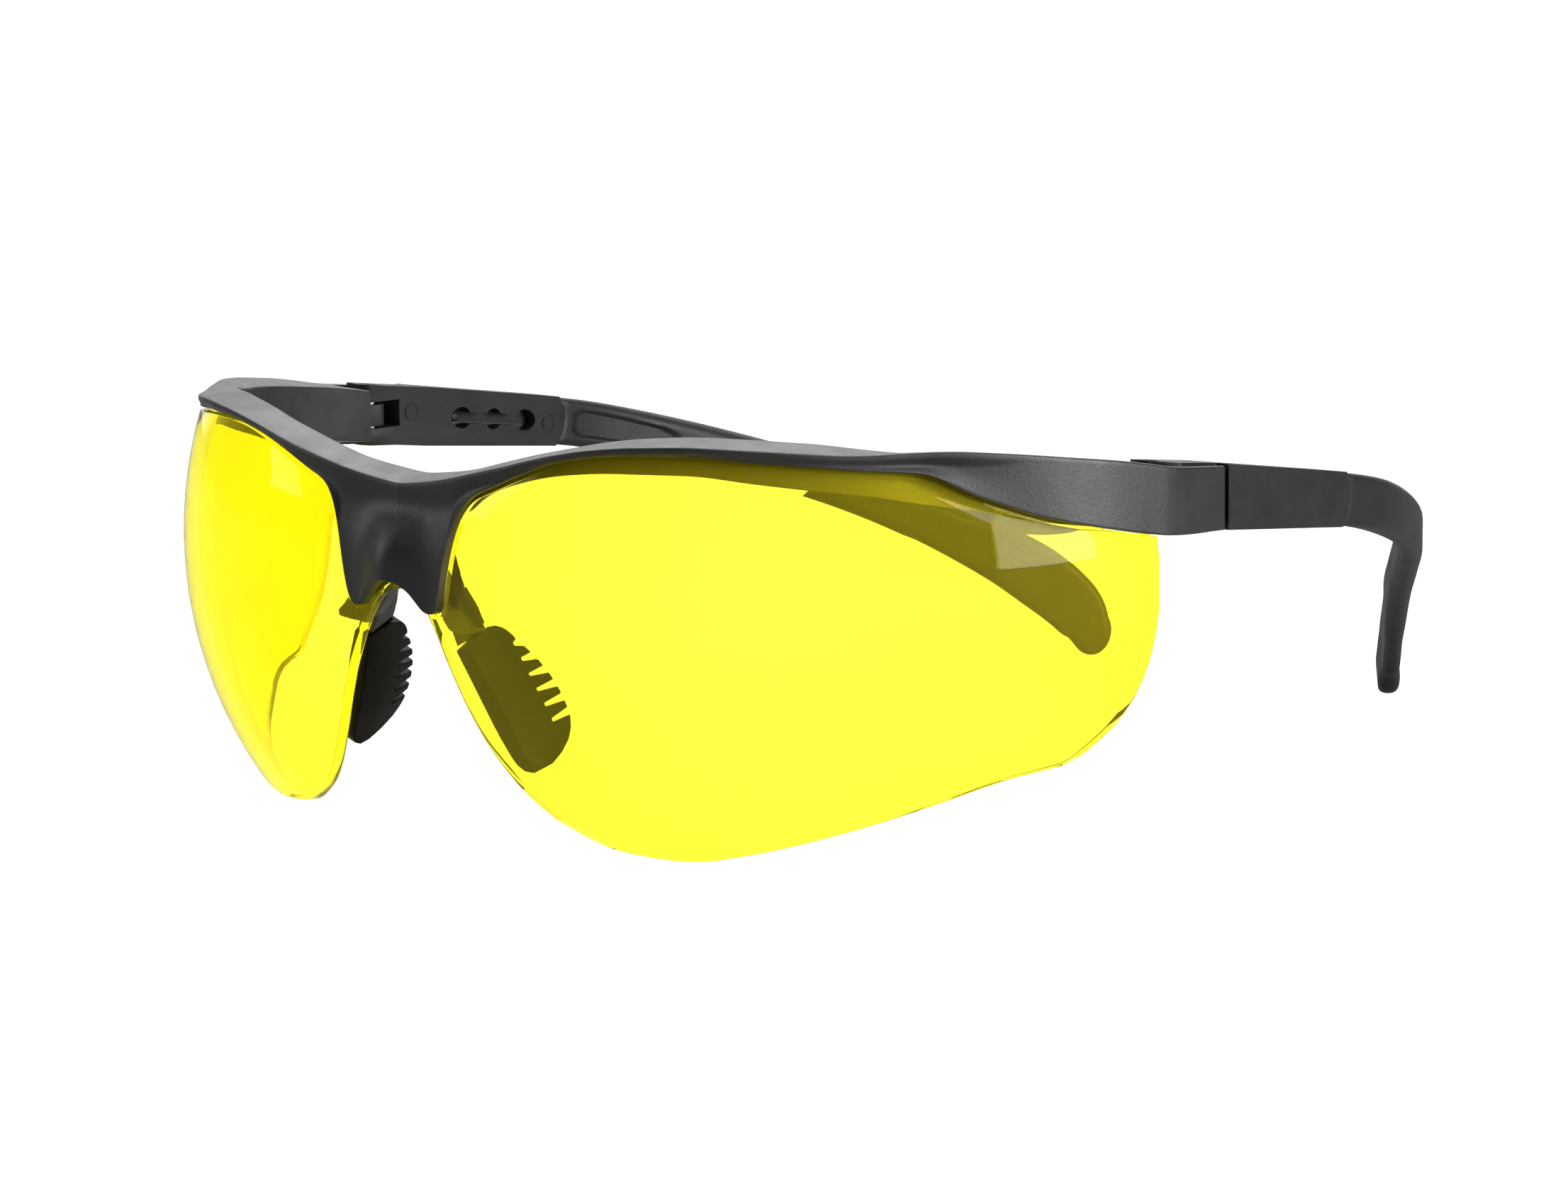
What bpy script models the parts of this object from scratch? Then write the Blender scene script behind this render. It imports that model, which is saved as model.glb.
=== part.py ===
"""Half-frame safety glasses with a one-piece wrap lens and telescoping temples.

All driving sizes are in millimetres in the design frame: +X to the wearer's left, +Y from the
lens towards the ears, +Z up, z = 0 on the surface that the folded-open glasses stand on.
The objects are made in metres, under one empty that puts the origin at the middle of the footprint.
"""
import math

import bmesh
import bpy
from mathutils import Matrix, Vector

MM = 0.001
COLLECTION = "safety_glasses"
ORIGIN_Y = 82.445           # design-frame y of the middle of the footprint

# Lens: each half is part of an ellipsoid, and the two halves meet in a soft saddle at the nose.
LENS_X = 16.13             # centre of the left half's ellipsoid
LENS_Y = 51.23
LENS_Z = 30.84
LENS_R = 50.8              # outer radius in plan
LENS_RZ = 52.27            # outer radius upright
LENS_T = 1.9               # thickness of the lens body
FLANGE_T = 0.95            # thickness of the rabbeted rim under the frame
SADDLE = 9.0               # half width of the saddle
LENS_END = 105.8           # arc length from the middle to the lateral edge
FLARE = 6.8                # how far the lateral parts stand out from the ellipsoid
FLARE_WAY = Vector((0.669, -0.743, 0.0))
SEAT_GAP = 0.3             # clearance round the seated lens

# Lower edge of the lens and edges of the frame: height over arc length from the middle.
LENS_LOW = [(0, 30.3), (3, 29.5), (5.8, 26.0), (8.0, 21.5), (10.2, 16.6), (12.8, 11.7), (16.7, 6.8),
            (21, 3.7), (29.7, 0.7), (39.4, 0.0), (48.7, 1.2), (57.5, 3.0), (66, 5.0), (74.7, 7.3),
            (80, 8.8), (84.7, 9.8), (88.5, 10.3), (92.8, 10.9), (96.1, 12.5), (100.4, 15.4), (103.2, 18.8),
            (105, 23.2), (105.8, 27.6)]
BROW_TOP = [(0, 43.6), (6, 44.4), (12, 45.7), (18.7, 47.2), (24.6, 48.3), (30, 49.2), (35, 49.7),
            (42, 50.0), (49, 49.8), (56, 49.4), (62.6, 49.0), (68, 48.8), (74, 48.5), (82, 47.9),
            (90, 47.1), (96.5, 46.4), (102, 45.6), (106, 44.9), (111.7, 43.9), (116, 43.1)]
BROW_LOW = [(0, 31.7), (2, 31.4), (3.5, 30.4), (4.6, 29.0), (5.4, 28.1), (6.2, 27.9), (6.9, 28.2),
            (7.5, 29.4), (8.2, 32.5), (8.8, 35.5), (9.5, 38.0), (10.4, 40.1), (12, 42.0),
            (15.2, 43.4), (20.3, 45.4), (25, 46.9), (30, 47.7), (35, 48.0), (41, 48.0), (49, 47.5),
            (56, 47.0), (63.2, 46.4), (69.7, 45.9), (77.1, 43.0), (85.9, 40.3), (96.5, 38.3),
            (107, 36.7), (116, 35.7)]
REAR_LOW = [(0, 38.0), (5, 38.1), (8, 39.2), (11, 41.3), (16, 43.2), (25, 45.1), (32, 45.6),
            (41, 45.65), (50, 44.8), (56.5, 44.1), (60, 43.7), (64.4, 43.2), (69.7, 42.25), (74.1, 41.6),
            (81, 40.55), (87.2, 39.5), (92, 38.9), (97, 38.35), (102, 37.8), (106, 37.4), (116, 36.4)]
RIDGE_R = [(0, 50.9), (10, 50.2), (20, 49.7), (30, 49.3), (45, 48.9), (60, 48.7), (68, 49.0),
           (77, 49.7), (82.3, 50.1), (88, 50.6), (93.3, 51.0), (99, 51.4), (104.8, 52.3), (110, 55.0),
           (116, 58.4)]
INNER_R = [(60, 45.9), (88, 46.3), (94, 46.2), (100, 46.4), (104, 47.0), (108, 47.9), (116, 50.5)]

# Frame section
CHANNEL_POINTS = 5         # points of the section that line the lens channel
ROOF_T = 1.1
FRONT_PROUD = 0.5          # front face of the brow over the lens surface
BRIDGE_BULGE = 2.8         # extra depth of the bridge plate at the nose
CREST_RISE = 0.9           # the top rises this much from the front ridge to the crest behind it
REAR_WALL_T = 1.4
TOP_FALL = 0.9             # the top of an end piece falls this much from its outer to its inner edge
CHANNEL_END = 97.5         # arc length where the lens channel is closed
BLOCK_END = 116.0          # the end pieces are swept past the butt joint and trimmed
BLOCK_Y = 58.0             # rear face of the solid end pieces, where the hinge starts
SKIN_Y = 68.75             # rear edge of the outer skins that cover the hinges
SKIN_T = 1.6

# Hinge
PIN_X, PIN_Y = 65.15, 60.3
PIN_R = 0.75
BORE_R = 1.05
PIN_LOW, PIN_HIGH = 37.6, 44.3
HEAD_R, HEAD_T = 1.15, 0.6
TONGUE_R = 1.9
TONGUE_LOW, TONGUE_HIGH = 39.5, 42.3
EAR_R = 2.0
FORK_GAP = 0.35
WINDOW_Y = 64.2            # rear end of the fork's window

# Temple sleeve: a box along a slightly toed-in, falling axis
SLEEVE_START = Vector((67.15, 69.5, 39.9))
SLEEVE_STOP = Vector((65.95, 95.1, 36.9))
SLEEVE_FRONT = 69.75       # front end of the sleeve's full width, behind the skin
SLEEVE_IN0, SLEEVE_IN1 = 63.55, 63.2       # inner face at the hinge and at the rear end
SLEEVE_OUT0, SLEEVE_OUT1 = 69.85, 68.65    # outer face behind the skin and at the rear end
SLEEVE_H0, SLEEVE_H1 = 7.8, 6.7
SLEEVE_FLOOR = 37.15       # underside of the fork
SLEEVE_NOSE = 1.2          # how far the rear end bulges
BLADE_W, BLADE_H = 2.6, 4.3
CAVITY_GAP = 0.3
CAVITY_START = 4.6
LOBE_START, LOBE_PITCH, LOBE_R, LOBE_END, WAIST_H = 6.6, 5.75, 1.45, 2.15, 0.75
BUMP_R = 0.65

# Temple arm: centre line behind the sleeve, then width and height of the section along it
ARM_PATH = [(64.4, 106.0, 34.8), (58.6, 120.0, 31.0), (52.0, 130.5, 27.3), (45.4, 138.8, 23.3),
            (39.2, 146.0, 18.9), (33.6, 152.8, 14.7), (29.0, 158.5, 10.0), (26.1, 161.9, 6.1),
            (24.9, 163.3, 3.5)]
ARM_SIZE = [(0.0, 5.0, 6.4), (0.2, 4.3, 6.3), (0.45, 3.4, 6.0), (0.66, 3.1, 6.2), (0.8, 2.9, 8.2),
            (0.88, 2.4, 9.0), (0.95, 2.4, 8.7), (1.0, 3.0, 6.9)]

# Nose pads: outline in the plane of the left pad, b to the rear and d down from the first slot
PAD_ORIGIN = Vector((9.6, 11.5, 23.4))
PAD_BACK = Vector((0.11, 0.994, 0.0)).normalized()
PAD_NORMAL = Vector((-0.904, 0.099, -0.417)).normalized()
PAD_DOWN = PAD_NORMAL.cross(PAD_BACK).normalized()
PAD_T = 3.0
PAD_SLOTS, SLOT_PITCH = 6, 1.92
PADDLE_W, PADDLE_T, PADDLE_L = 2.6, 1.1, 11.0

# Nose bracket: upper and lower edge of its saddle over arc length
SADDLE_END = 11.2
SADDLE_TOP = [(0, 37.4), (3, 37.4), (4.6, 37.2), (5.3, 36.3), (6.2, 34.1), (8.0, 30.4), (10.1, 27.7),
              (11.2, 26.7)]
SADDLE_LOW = [(0, 31.0), (2, 30.8), (3.6, 29.6), (4.8, 27.9), (6.9, 25.8), (8, 25.6), (11.2, 26.0)]

BLACK_NYLON = ("black_nylon", (0.012, 0.012, 0.013, 1.0), 0.45, 0.0, 0.0)
GLOSS_NYLON = ("gloss_nylon", (0.008, 0.008, 0.009, 1.0), 0.2, 0.0, 0.0)
BLACK_RUBBER = ("black_rubber", (0.010, 0.010, 0.011, 1.0), 0.65, 0.0, 0.0)
YELLOW_LENS = ("yellow_lens", (1.0, 0.93, 0.0, 1.0), 0.03, 0.0, 0.9)
PIN_STEEL = ("pin_steel", (0.45, 0.45, 0.46, 1.0), 0.3, 1.0, 0.0)


# ---------------------------------------------------------------- curves
def smooth_curve(points):
    """A monotone cubic through (position, value) points, as a function of position."""
    xs = [float(p[0]) for p in points]
    ys = [float(p[1]) for p in points]
    count = len(xs)
    steps = [xs[i + 1] - xs[i] for i in range(count - 1)]
    slopes = [(ys[i + 1] - ys[i]) / steps[i] for i in range(count - 1)]
    tangents = [slopes[0]] + [0.0] * (count - 2) + [slopes[-1]]
    for i in range(1, count - 1):
        if slopes[i - 1] * slopes[i] > 0:
            w1 = 2 * steps[i] + steps[i - 1]
            w2 = steps[i] + 2 * steps[i - 1]
            tangents[i] = (w1 + w2) / (w1 / slopes[i - 1] + w2 / slopes[i])

    def value(x):
        x = min(max(x, xs[0]), xs[-1])
        i = max(k for k in range(count - 1) if xs[k] <= x)
        h = steps[i]
        t = (x - xs[i]) / h
        return (ys[i] * (1 + 2 * t) * (1 - t) ** 2 + tangents[i] * h * t * (1 - t) ** 2
                + ys[i + 1] * t * t * (3 - 2 * t) + tangents[i + 1] * h * t * t * (t - 1))
    return value


def smoothstep(low, high, x):
    t = min(max((x - low) / (high - low), 0.0), 1.0)
    return t * t * (3 - 2 * t)


def spread(start, stop, count):
    return [start + (stop - start) * i / (count - 1) for i in range(count)]


lens_low = smooth_curve(LENS_LOW)
brow_top = smooth_curve(BROW_TOP)
brow_low = smooth_curve(BROW_LOW)
rear_low = smooth_curve(REAR_LOW)
ridge_radius = smooth_curve(RIDGE_R)
inner_radius = smooth_curve(INNER_R)
saddle_top = smooth_curve(SADDLE_TOP)
saddle_low = smooth_curve(SADDLE_LOW)


def shell_radius(z, offset):
    """Plan radius of the lens ellipsoid, moved out by offset, at height z."""
    return (LENS_R + offset) * math.sqrt(1 - ((z - LENS_Z) / (LENS_RZ + offset)) ** 2)


def wrap(u, radius, z, lean=1.0):
    """The point at arc length u from the middle, at a plan radius and a height, with a share of the flare."""
    side = 1 if u >= 0 else -1
    seam_angle = math.asin((SADDLE - LENS_X) / LENS_R)
    if abs(u) > SADDLE:
        angle = seam_angle + (abs(u) - SADDLE) / LENS_R
        out = FLARE_WAY * (lean * FLARE * smoothstep(68, 112, abs(u)) * (1 - smoothstep(104.5, 114.5, abs(u))))
        point = Vector((LENS_X + radius * math.sin(angle), LENS_Y - radius * math.cos(angle), z)) + out
        return Vector((side * point.x, point.y, z))
    seam_x = LENS_X + radius * math.sin(seam_angle)
    x = seam_x * u / SADDLE
    soft_x = (x * x + seam_x * seam_x) / (2 * seam_x)
    return Vector((x, LENS_Y - math.sqrt(radius ** 2 - (soft_x - LENS_X) ** 2), z))


# ---------------------------------------------------------------- meshes and objects
def make_material(spec):
    name, colour, roughness, metallic, transmission = spec
    material = bpy.data.materials.get(name)
    if material:
        return material
    material = bpy.data.materials.new(name)
    material.use_nodes = True
    shader = material.node_tree.nodes["Principled BSDF"]
    shader.inputs["Base Color"].default_value = colour
    shader.inputs["Roughness"].default_value = roughness
    shader.inputs["Metallic"].default_value = metallic
    shader.inputs["Transmission Weight"].default_value = transmission
    material.diffuse_color = colour
    return material


def loft_mesh(name, rings, cap=True):
    """A closed skin through rings of points; each ring may end with extra groove points."""
    bm = bmesh.new()
    loops = [[bm.verts.new(p) for p in ring] for ring in rings]
    for a, b in zip(loops, loops[1:]):
        for i in range(len(a)):
            j = (i + 1) % len(a)
            bm.faces.new((a[i], a[j], b[j], b[i]))
    if cap:
        bm.faces.new(loops[0][::-1])
        bm.faces.new(loops[-1])
    return finish_mesh(name, bm)


def finish_mesh(name, bm):
    bmesh.ops.recalc_face_normals(bm, faces=bm.faces)
    mesh = bpy.data.meshes.new(name)
    bm.to_mesh(mesh)
    bm.free()
    return mesh


def prism_mesh(name, outline, along):
    """A flat outline swept along a vector."""
    bm = bmesh.new()
    face = bm.faces.new([bm.verts.new(p) for p in outline])
    swept = bmesh.ops.extrude_face_region(bm, geom=[face])["geom"]
    bmesh.ops.translate(bm, verts=[v for v in swept if isinstance(v, bmesh.types.BMVert)], vec=along)
    return finish_mesh(name, bm)


def box_mesh(name, centre, axes, sizes):
    """A box about a centre, along three axes."""
    bm = bmesh.new()
    bmesh.ops.create_cube(bm, size=1.0)
    frame = Matrix([axes[0] * sizes[0], axes[1] * sizes[1], axes[2] * sizes[2]]).transposed().to_4x4()
    bmesh.ops.transform(bm, matrix=Matrix.Translation(centre) @ frame, verts=bm.verts)
    return finish_mesh(name, bm)


def rod_mesh(name, base, along, radius, sides=24):
    """A cylinder from a base point along a vector."""
    bm = bmesh.new()
    bmesh.ops.create_cone(bm, cap_ends=True, segments=sides, radius1=radius, radius2=radius,
                          depth=along.length)
    turn = along.to_track_quat("Z", "Y").to_matrix().to_4x4()
    bmesh.ops.transform(bm, matrix=Matrix.Translation(base + along / 2) @ turn, verts=bm.verts)
    return finish_mesh(name, bm)


def boolean(body, operation, tools):
    """Body mesh joined with, cut by or limited to each tool mesh in turn."""
    target = bpy.data.objects.new("boolean_body", body)
    bpy.context.scene.collection.objects.link(target)
    helpers = []
    for tool in tools:
        helper = bpy.data.objects.new("boolean_tool", tool)
        bpy.context.scene.collection.objects.link(helper)
        helpers.append(helper)
        modifier = target.modifiers.new("cut", "BOOLEAN")
        modifier.operation = operation
        modifier.solver = "EXACT"
        modifier.object = helper
    graph = bpy.context.evaluated_depsgraph_get()
    result = bpy.data.meshes.new_from_object(target.evaluated_get(graph))
    for item in helpers + [target]:
        bpy.data.objects.remove(item)
    bm = bmesh.new()
    bm.from_mesh(result)
    bmesh.ops.remove_doubles(bm, verts=bm.verts, dist=0.002)
    bmesh.ops.dissolve_degenerate(bm, edges=bm.edges, dist=0.002)
    bm.to_mesh(result)
    bm.free()
    return result


def mirrored(mesh):
    """The same piece for the other side of the glasses."""
    copy = mesh.copy()
    bm = bmesh.new()
    bm.from_mesh(copy)
    bmesh.ops.scale(bm, vec=(-1, 1, 1), verts=bm.verts)
    bmesh.ops.reverse_faces(bm, faces=bm.faces)
    bm.to_mesh(copy)
    bm.free()
    return copy


def add_object(name, mesh, spec, parent, pivot=Vector((0, 0, 0)), bevel=0.0, sharp=35):
    """A named object in metres; its origin is the pivot, which is in design millimetres."""
    mesh.name = name
    mesh.transform(Matrix.Translation(-pivot))
    mesh.transform(Matrix.Scale(MM, 4))
    mesh.shade_smooth()
    mesh.set_sharp_from_angle(angle=math.radians(sharp))
    mesh.materials.clear()
    mesh.materials.append(make_material(spec))
    item = bpy.data.objects.new(name, mesh)
    bpy.data.collections[COLLECTION].objects.link(item)
    item.parent = parent
    item.location = (pivot - Vector(parent["pivot"])) * MM
    if bevel:
        modifier = item.modifiers.new("rounded_edges", "BEVEL")
        modifier.width = bevel * MM
        modifier.segments = 2
        modifier.limit_method = "ANGLE"
        modifier.angle_limit = math.radians(50)
    return item


def add_empty(name, pivot, parent):
    """An empty on a joint's axis, which carries the pieces that move about it."""
    empty = bpy.data.objects.new(name, None)
    bpy.data.collections[COLLECTION].objects.link(empty)
    empty.empty_display_size = 5 * MM
    empty.parent = parent
    empty.location = (pivot - Vector(parent["pivot"])) * MM
    empty["pivot"] = pivot
    return empty


# ---------------------------------------------------------------- lens
def step_height(u):
    """Height of the rabbet step: just under the frame's front lip, lower under the solid end piece."""
    near = min(brow_low(abs(u) + shift) for shift in (-0.45, 0.0, 0.45))
    return max(near - 0.45 - 0.15 * smoothstep(90, 96, abs(u)), lens_low(abs(u)) + 0.5)


def lens_top(u):
    """Top of the lens: inside the channel, then cut down to pass under the solid end piece."""
    seated = brow_top(abs(u)) - ROOF_T - SEAT_GAP
    under = brow_low(abs(u)) - 0.35
    return seated + (under - seated) * smoothstep(90, 96.5, abs(u))


def lens_ring(u):
    low = lens_low(abs(u))
    step = step_height(u)
    top = lens_top(u)
    edge = 0.3
    lip = min(edge, 0.4 * (top - step))
    ring = [(-edge, low), (0.0, low + edge)]
    ring += [(0.0, z) for z in spread(low + edge, step, 5)[1:]]
    ring += [(-LENS_T + FLANGE_T, z) for z in spread(step, top - lip, 4)]
    ring += [(-LENS_T + FLANGE_T - lip, top)]
    ring += [(-LENS_T, z) for z in spread(top, step, 4)]
    foot = step - min(3.5, 0.5 * (step - low - edge))
    ring += [(-LENS_T, z) for z in spread(step, foot, 3)[1:] + spread(foot, low + edge, 4)[1:]]
    ring += [(-LENS_T + edge, low)]
    return [wrap(u, shell_radius(z, offset), z) for offset, z in ring]


def two_sided(stations):
    return [-u for u in reversed(stations) if u > 0] + stations


def lens_mesh():
    stations = spread(0, 5.6, 8) + [6.2, 6.9, 7.5, 8.2, 9.0, 10.0, 11.2, 12.6, 14.4, 16.6, 19]
    stations += spread(22, 84.7, 15) + [88, 90, 91.5, 93, 94.5, 96.5, 98.5, 100.5, 102.2, 103.6, 104.6, 105.3]
    stations.append(LENS_END)
    return loft_mesh("lens", [lens_ring(u) for u in two_sided(stations)])


# ---------------------------------------------------------------- frame front
def ridge_drop(u):
    """How far the front ridge lies under the crest of the brow."""
    return min(CREST_RISE, 0.35 * (brow_top(u) - brow_low(u))) * (1 - smoothstep(58, 76, u))


def front_radius(u, z):
    """Plan radius of the frame's front face: a ridge along the top, a cove, then the lip or plate."""
    u = abs(u)
    below = brow_top(u) - ridge_drop(u) - z
    height = brow_top(u) - brow_low(u)
    bulge = BRIDGE_BULGE * math.exp(-(u / 4.4) ** 2) * smoothstep(44.5, 33.0, z)
    plain = shell_radius(z, FRONT_PROUD) + bulge
    ridge = ridge_radius(u)
    cove_end = min(0.55 * height + 0.4, 5.0)
    near_ridge = 1 - smoothstep(0.7, cove_end, below)
    flat_wall = smoothstep(66, 84, u)
    cove = 0.35 * (1 - flat_wall) * math.exp(-((below - 0.8 * cove_end) / (0.45 * cove_end)) ** 2)
    share = max(near_ridge, flat_wall)
    return plain + (ridge - plain) * share - cove


def frame_ring(u):
    """Outer loop of the frame section, then the points that line the lens channel."""
    v = abs(u)
    top, low, rear = brow_top(v), brow_low(v), min(rear_low(v), brow_top(v) - 3.0)
    ceiling = top - ROOF_T
    front_in = -LENS_T + FLANGE_T + SEAT_GAP
    rear_in = -LENS_T - SEAT_GAP
    wall = rear_in - REAR_WALL_T
    block = smoothstep(58, 88, v)
    fall = 0.2 + TOP_FALL * smoothstep(56, 74, v)

    def back_radius(z):
        plain = shell_radius(z, wall)
        return plain + (inner_radius(v) - plain) * block

    ridge_z = top - ridge_drop(v)
    ridge = front_radius(u, ridge_z - 0.7)
    lip = min(0.7, 0.45 * (ridge_z - low))
    front = [(shell_radius(low, front_in), low), (front_radius(u, low) - 0.35, low)]
    front += [(front_radius(u, z), z) for z in spread(low + 0.3, ridge_z - lip, 6)]
    front += [(ridge - 0.2, ridge_z - 0.25), (ridge - 0.7, ridge_z)]
    back = [(back_radius(top - fall) + 0.7, top - fall), (back_radius(top - fall - 0.6), top - fall - 0.6)]
    back += [(back_radius(rear + 0.3), rear + 0.3), (back_radius(rear) + 0.3, rear)]
    lining = [(shell_radius(rear, rear_in), rear)]
    lining += [(shell_radius(z, rear_in), z) for z in spread(rear, ceiling, 3)[1:]]
    lining += [(shell_radius(z, front_in), z) for z in spread(ceiling, low, 4)[:-1]]
    ring = [wrap(u, radius, z) for radius, z in front]
    ring += [wrap(u, radius, z, 1 - block) for radius, z in back]
    return ring + [wrap(u, radius, z) for radius, z in lining]


def frame_body():
    """The channel from end to end, closed past the lens by solid end pieces."""
    half = spread(0, 5.6, 8) + [6.1, 6.6, 7.1, 7.5, 7.9, 8.3, 8.8, 9.4, 10, 10.8, 12, 13.5]
    half += spread(16, 94, 20) + [CHANNEL_END, 101, 104.5, 108, 111, 113.5, BLOCK_END]
    stations = two_sided(half)
    bm = bmesh.new()
    loops = []
    for u in stations:
        ring = frame_ring(u)
        if abs(u) > CHANNEL_END:
            ring = ring[:-CHANNEL_POINTS]
        loops.append([bm.verts.new(p) for p in ring])
    outer = len(loops[0])
    for (u0, a), (u1, b) in zip(zip(stations, loops), zip(stations[1:], loops[1:])):
        solid = max(abs(u0), abs(u1)) > CHANNEL_END
        count = outer if solid else outer + CHANNEL_POINTS
        for i in range(count):
            j = (i + 1) % count
            bm.faces.new((a[i], a[j], b[j], b[i]))
    for u, loop in zip(stations, loops):
        if abs(u) == CHANNEL_END:
            bm.faces.new([loop[0]] + loop[outer - 1:])
    bm.faces.new(loops[0][::-1])
    bm.faces.new(loops[-1])
    bmesh.ops.recalc_face_normals(bm, faces=bm.faces)
    cut = bmesh.ops.bisect_plane(bm, geom=bm.verts[:] + bm.edges[:] + bm.faces[:],
                                 plane_co=(0, SKIN_Y, 0), plane_no=(0, 1, 0), clear_outer=True)
    rim = [e for e in cut["geom_cut"] if isinstance(e, bmesh.types.BMEdge)]
    bmesh.ops.holes_fill(bm, edges=rim)
    return finish_mesh("frame", bm)


def tongue_outline():
    """Plan of the hinge tongue: straight from the end piece, round about the pin."""
    arc = [math.radians(a) for a in range(0, 181, 15)]
    ring = [Vector((PIN_X + TONGUE_R * math.cos(a), PIN_Y + TONGUE_R * math.sin(a), TONGUE_LOW)) for a in arc]
    root = BLOCK_Y - 1.5
    return ring + [Vector((PIN_X - TONGUE_R, root, TONGUE_LOW)), Vector((PIN_X + TONGUE_R, root, TONGUE_LOW))]


def pin_bore(radius, low, high):
    return rod_mesh("bore", Vector((PIN_X, PIN_Y, low)), Vector((0, 0, high - low)), radius)


def skin_line(offset, count):
    """Plan of the inner side of a skin, from the solid end piece to the butt joint."""
    points = [wrap(u, ridge_radius(u) - SKIN_T - offset, 0) for u in spread(106.8, 113.6, count)]
    return [(p.x, p.y) for p in points]


def hinge_pocket():
    """The space behind a solid end piece and inside its skin."""
    line = skin_line(0.0, 7)
    plan = [(50, BLOCK_Y), (line[0][0] - 1.2, BLOCK_Y), (line[0][0] - 0.3, BLOCK_Y + 0.4)] + line[1:]
    plan += [(line[-1][0] + 0.2, SKIN_Y + 5), (50, SKIN_Y + 5)]
    return prism_mesh("pocket", [Vector((x, y, 20)) for x, y in plan], Vector((0, 0, 40)))


def frame_mesh():
    tongue = prism_mesh("tongue", tongue_outline(), Vector((0, 0, TONGUE_HIGH - TONGUE_LOW)))
    tongue = boolean(tongue, "DIFFERENCE", [pin_bore(BORE_R, 30, 50)])
    body = boolean(frame_body(), "DIFFERENCE", [hinge_pocket(), mirrored(hinge_pocket())])
    return boolean(body, "UNION", [tongue, mirrored(tongue)])


# ---------------------------------------------------------------- hinge pin
def hinge_pin_mesh():
    """A turned pin with a flat slotted head."""
    profile = [(0.0, PIN_HIGH), (HEAD_R - 0.15, PIN_HIGH), (HEAD_R, PIN_HIGH - 0.15),
               (HEAD_R, PIN_HIGH - HEAD_T), (PIN_R, PIN_HIGH - HEAD_T), (PIN_R, PIN_LOW + 0.2),
               (PIN_R - 0.2, PIN_LOW), (0.0, PIN_LOW)]
    bm = bmesh.new()
    verts = [bm.verts.new((r, 0, z)) for r, z in profile]
    for a, b in zip(verts, verts[1:]):
        bm.edges.new((a, b))
    bmesh.ops.spin(bm, geom=bm.verts[:] + bm.edges[:], axis=(0, 0, 1), cent=(0, 0, 0),
                   angle=2 * math.pi, steps=20, use_duplicate=False)
    bmesh.ops.remove_doubles(bm, verts=bm.verts, dist=0.0005)
    bmesh.ops.translate(bm, verts=bm.verts, vec=(PIN_X, PIN_Y, 0))
    pin = finish_mesh("pin", bm)
    slot = box_mesh("slot", Vector((PIN_X, PIN_Y, PIN_HIGH)), Matrix.Identity(3), (3.0, 0.4, 0.6))
    return boolean(pin, "DIFFERENCE", [slot])


# ---------------------------------------------------------------- temple sleeve
SLEEVE_AXIS = (SLEEVE_STOP - SLEEVE_START).normalized()
SLEEVE_LENGTH = (SLEEVE_STOP - SLEEVE_START).length
SLEEVE_SIDE = SLEEVE_AXIS.cross(Vector((0, 0, 1))).normalized()      # outwards on the left temple
SLEEVE_UP = SLEEVE_SIDE.cross(SLEEVE_AXIS).normalized()


def on_sleeve(along, side, up):
    return SLEEVE_START + SLEEVE_AXIS * along + SLEEVE_SIDE * side + SLEEVE_UP * up


def sleeve_nose(up):
    """How far the rounded rear end stands out at a height over the axis."""
    return SLEEVE_NOSE * (1 - (up / (SLEEVE_H1 / 2)) ** 2)


def sleeve_plan():
    """Plan of the sleeve: round fork about the pin, inside the skin, then full width to the rear."""
    arc = [math.radians(a) for a in range(217, 326, 12)]
    plan = [(PIN_X + EAR_R * math.cos(a), PIN_Y + EAR_R * math.sin(a)) for a in arc]
    plan += [(x, y) for x, y in skin_line(0.35, 7) if PIN_Y < y < SLEEVE_FRONT - 0.5]
    rear = SLEEVE_STOP.y + 2
    plan += [(plan[-1][0], SLEEVE_FRONT), (SLEEVE_OUT0, SLEEVE_FRONT)]
    plan += [(SLEEVE_OUT1, rear), (SLEEVE_IN1, rear)]
    return plan


def sleeve_profile():
    """Side view of the sleeve along its axis: tapered, with a bulging rear end."""
    half0, half1 = SLEEVE_H0 / 2, SLEEVE_H1 / 2
    length = SLEEVE_LENGTH - SLEEVE_NOSE
    front = -13.0
    fork = SLEEVE_FLOOR - (SLEEVE_START + SLEEVE_AXIS * front).z
    shoulder = -5.5
    profile = [(front, fork), (front, half0 - 0.1), (0.0, half0), (length, half1)]
    profile += [(length + sleeve_nose(up), up) for up in spread(half1, -half1, 9)[1:-1]]
    profile += [(length, -half1), (0.0, -half0), (shoulder, -half0)]
    return profile


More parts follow.
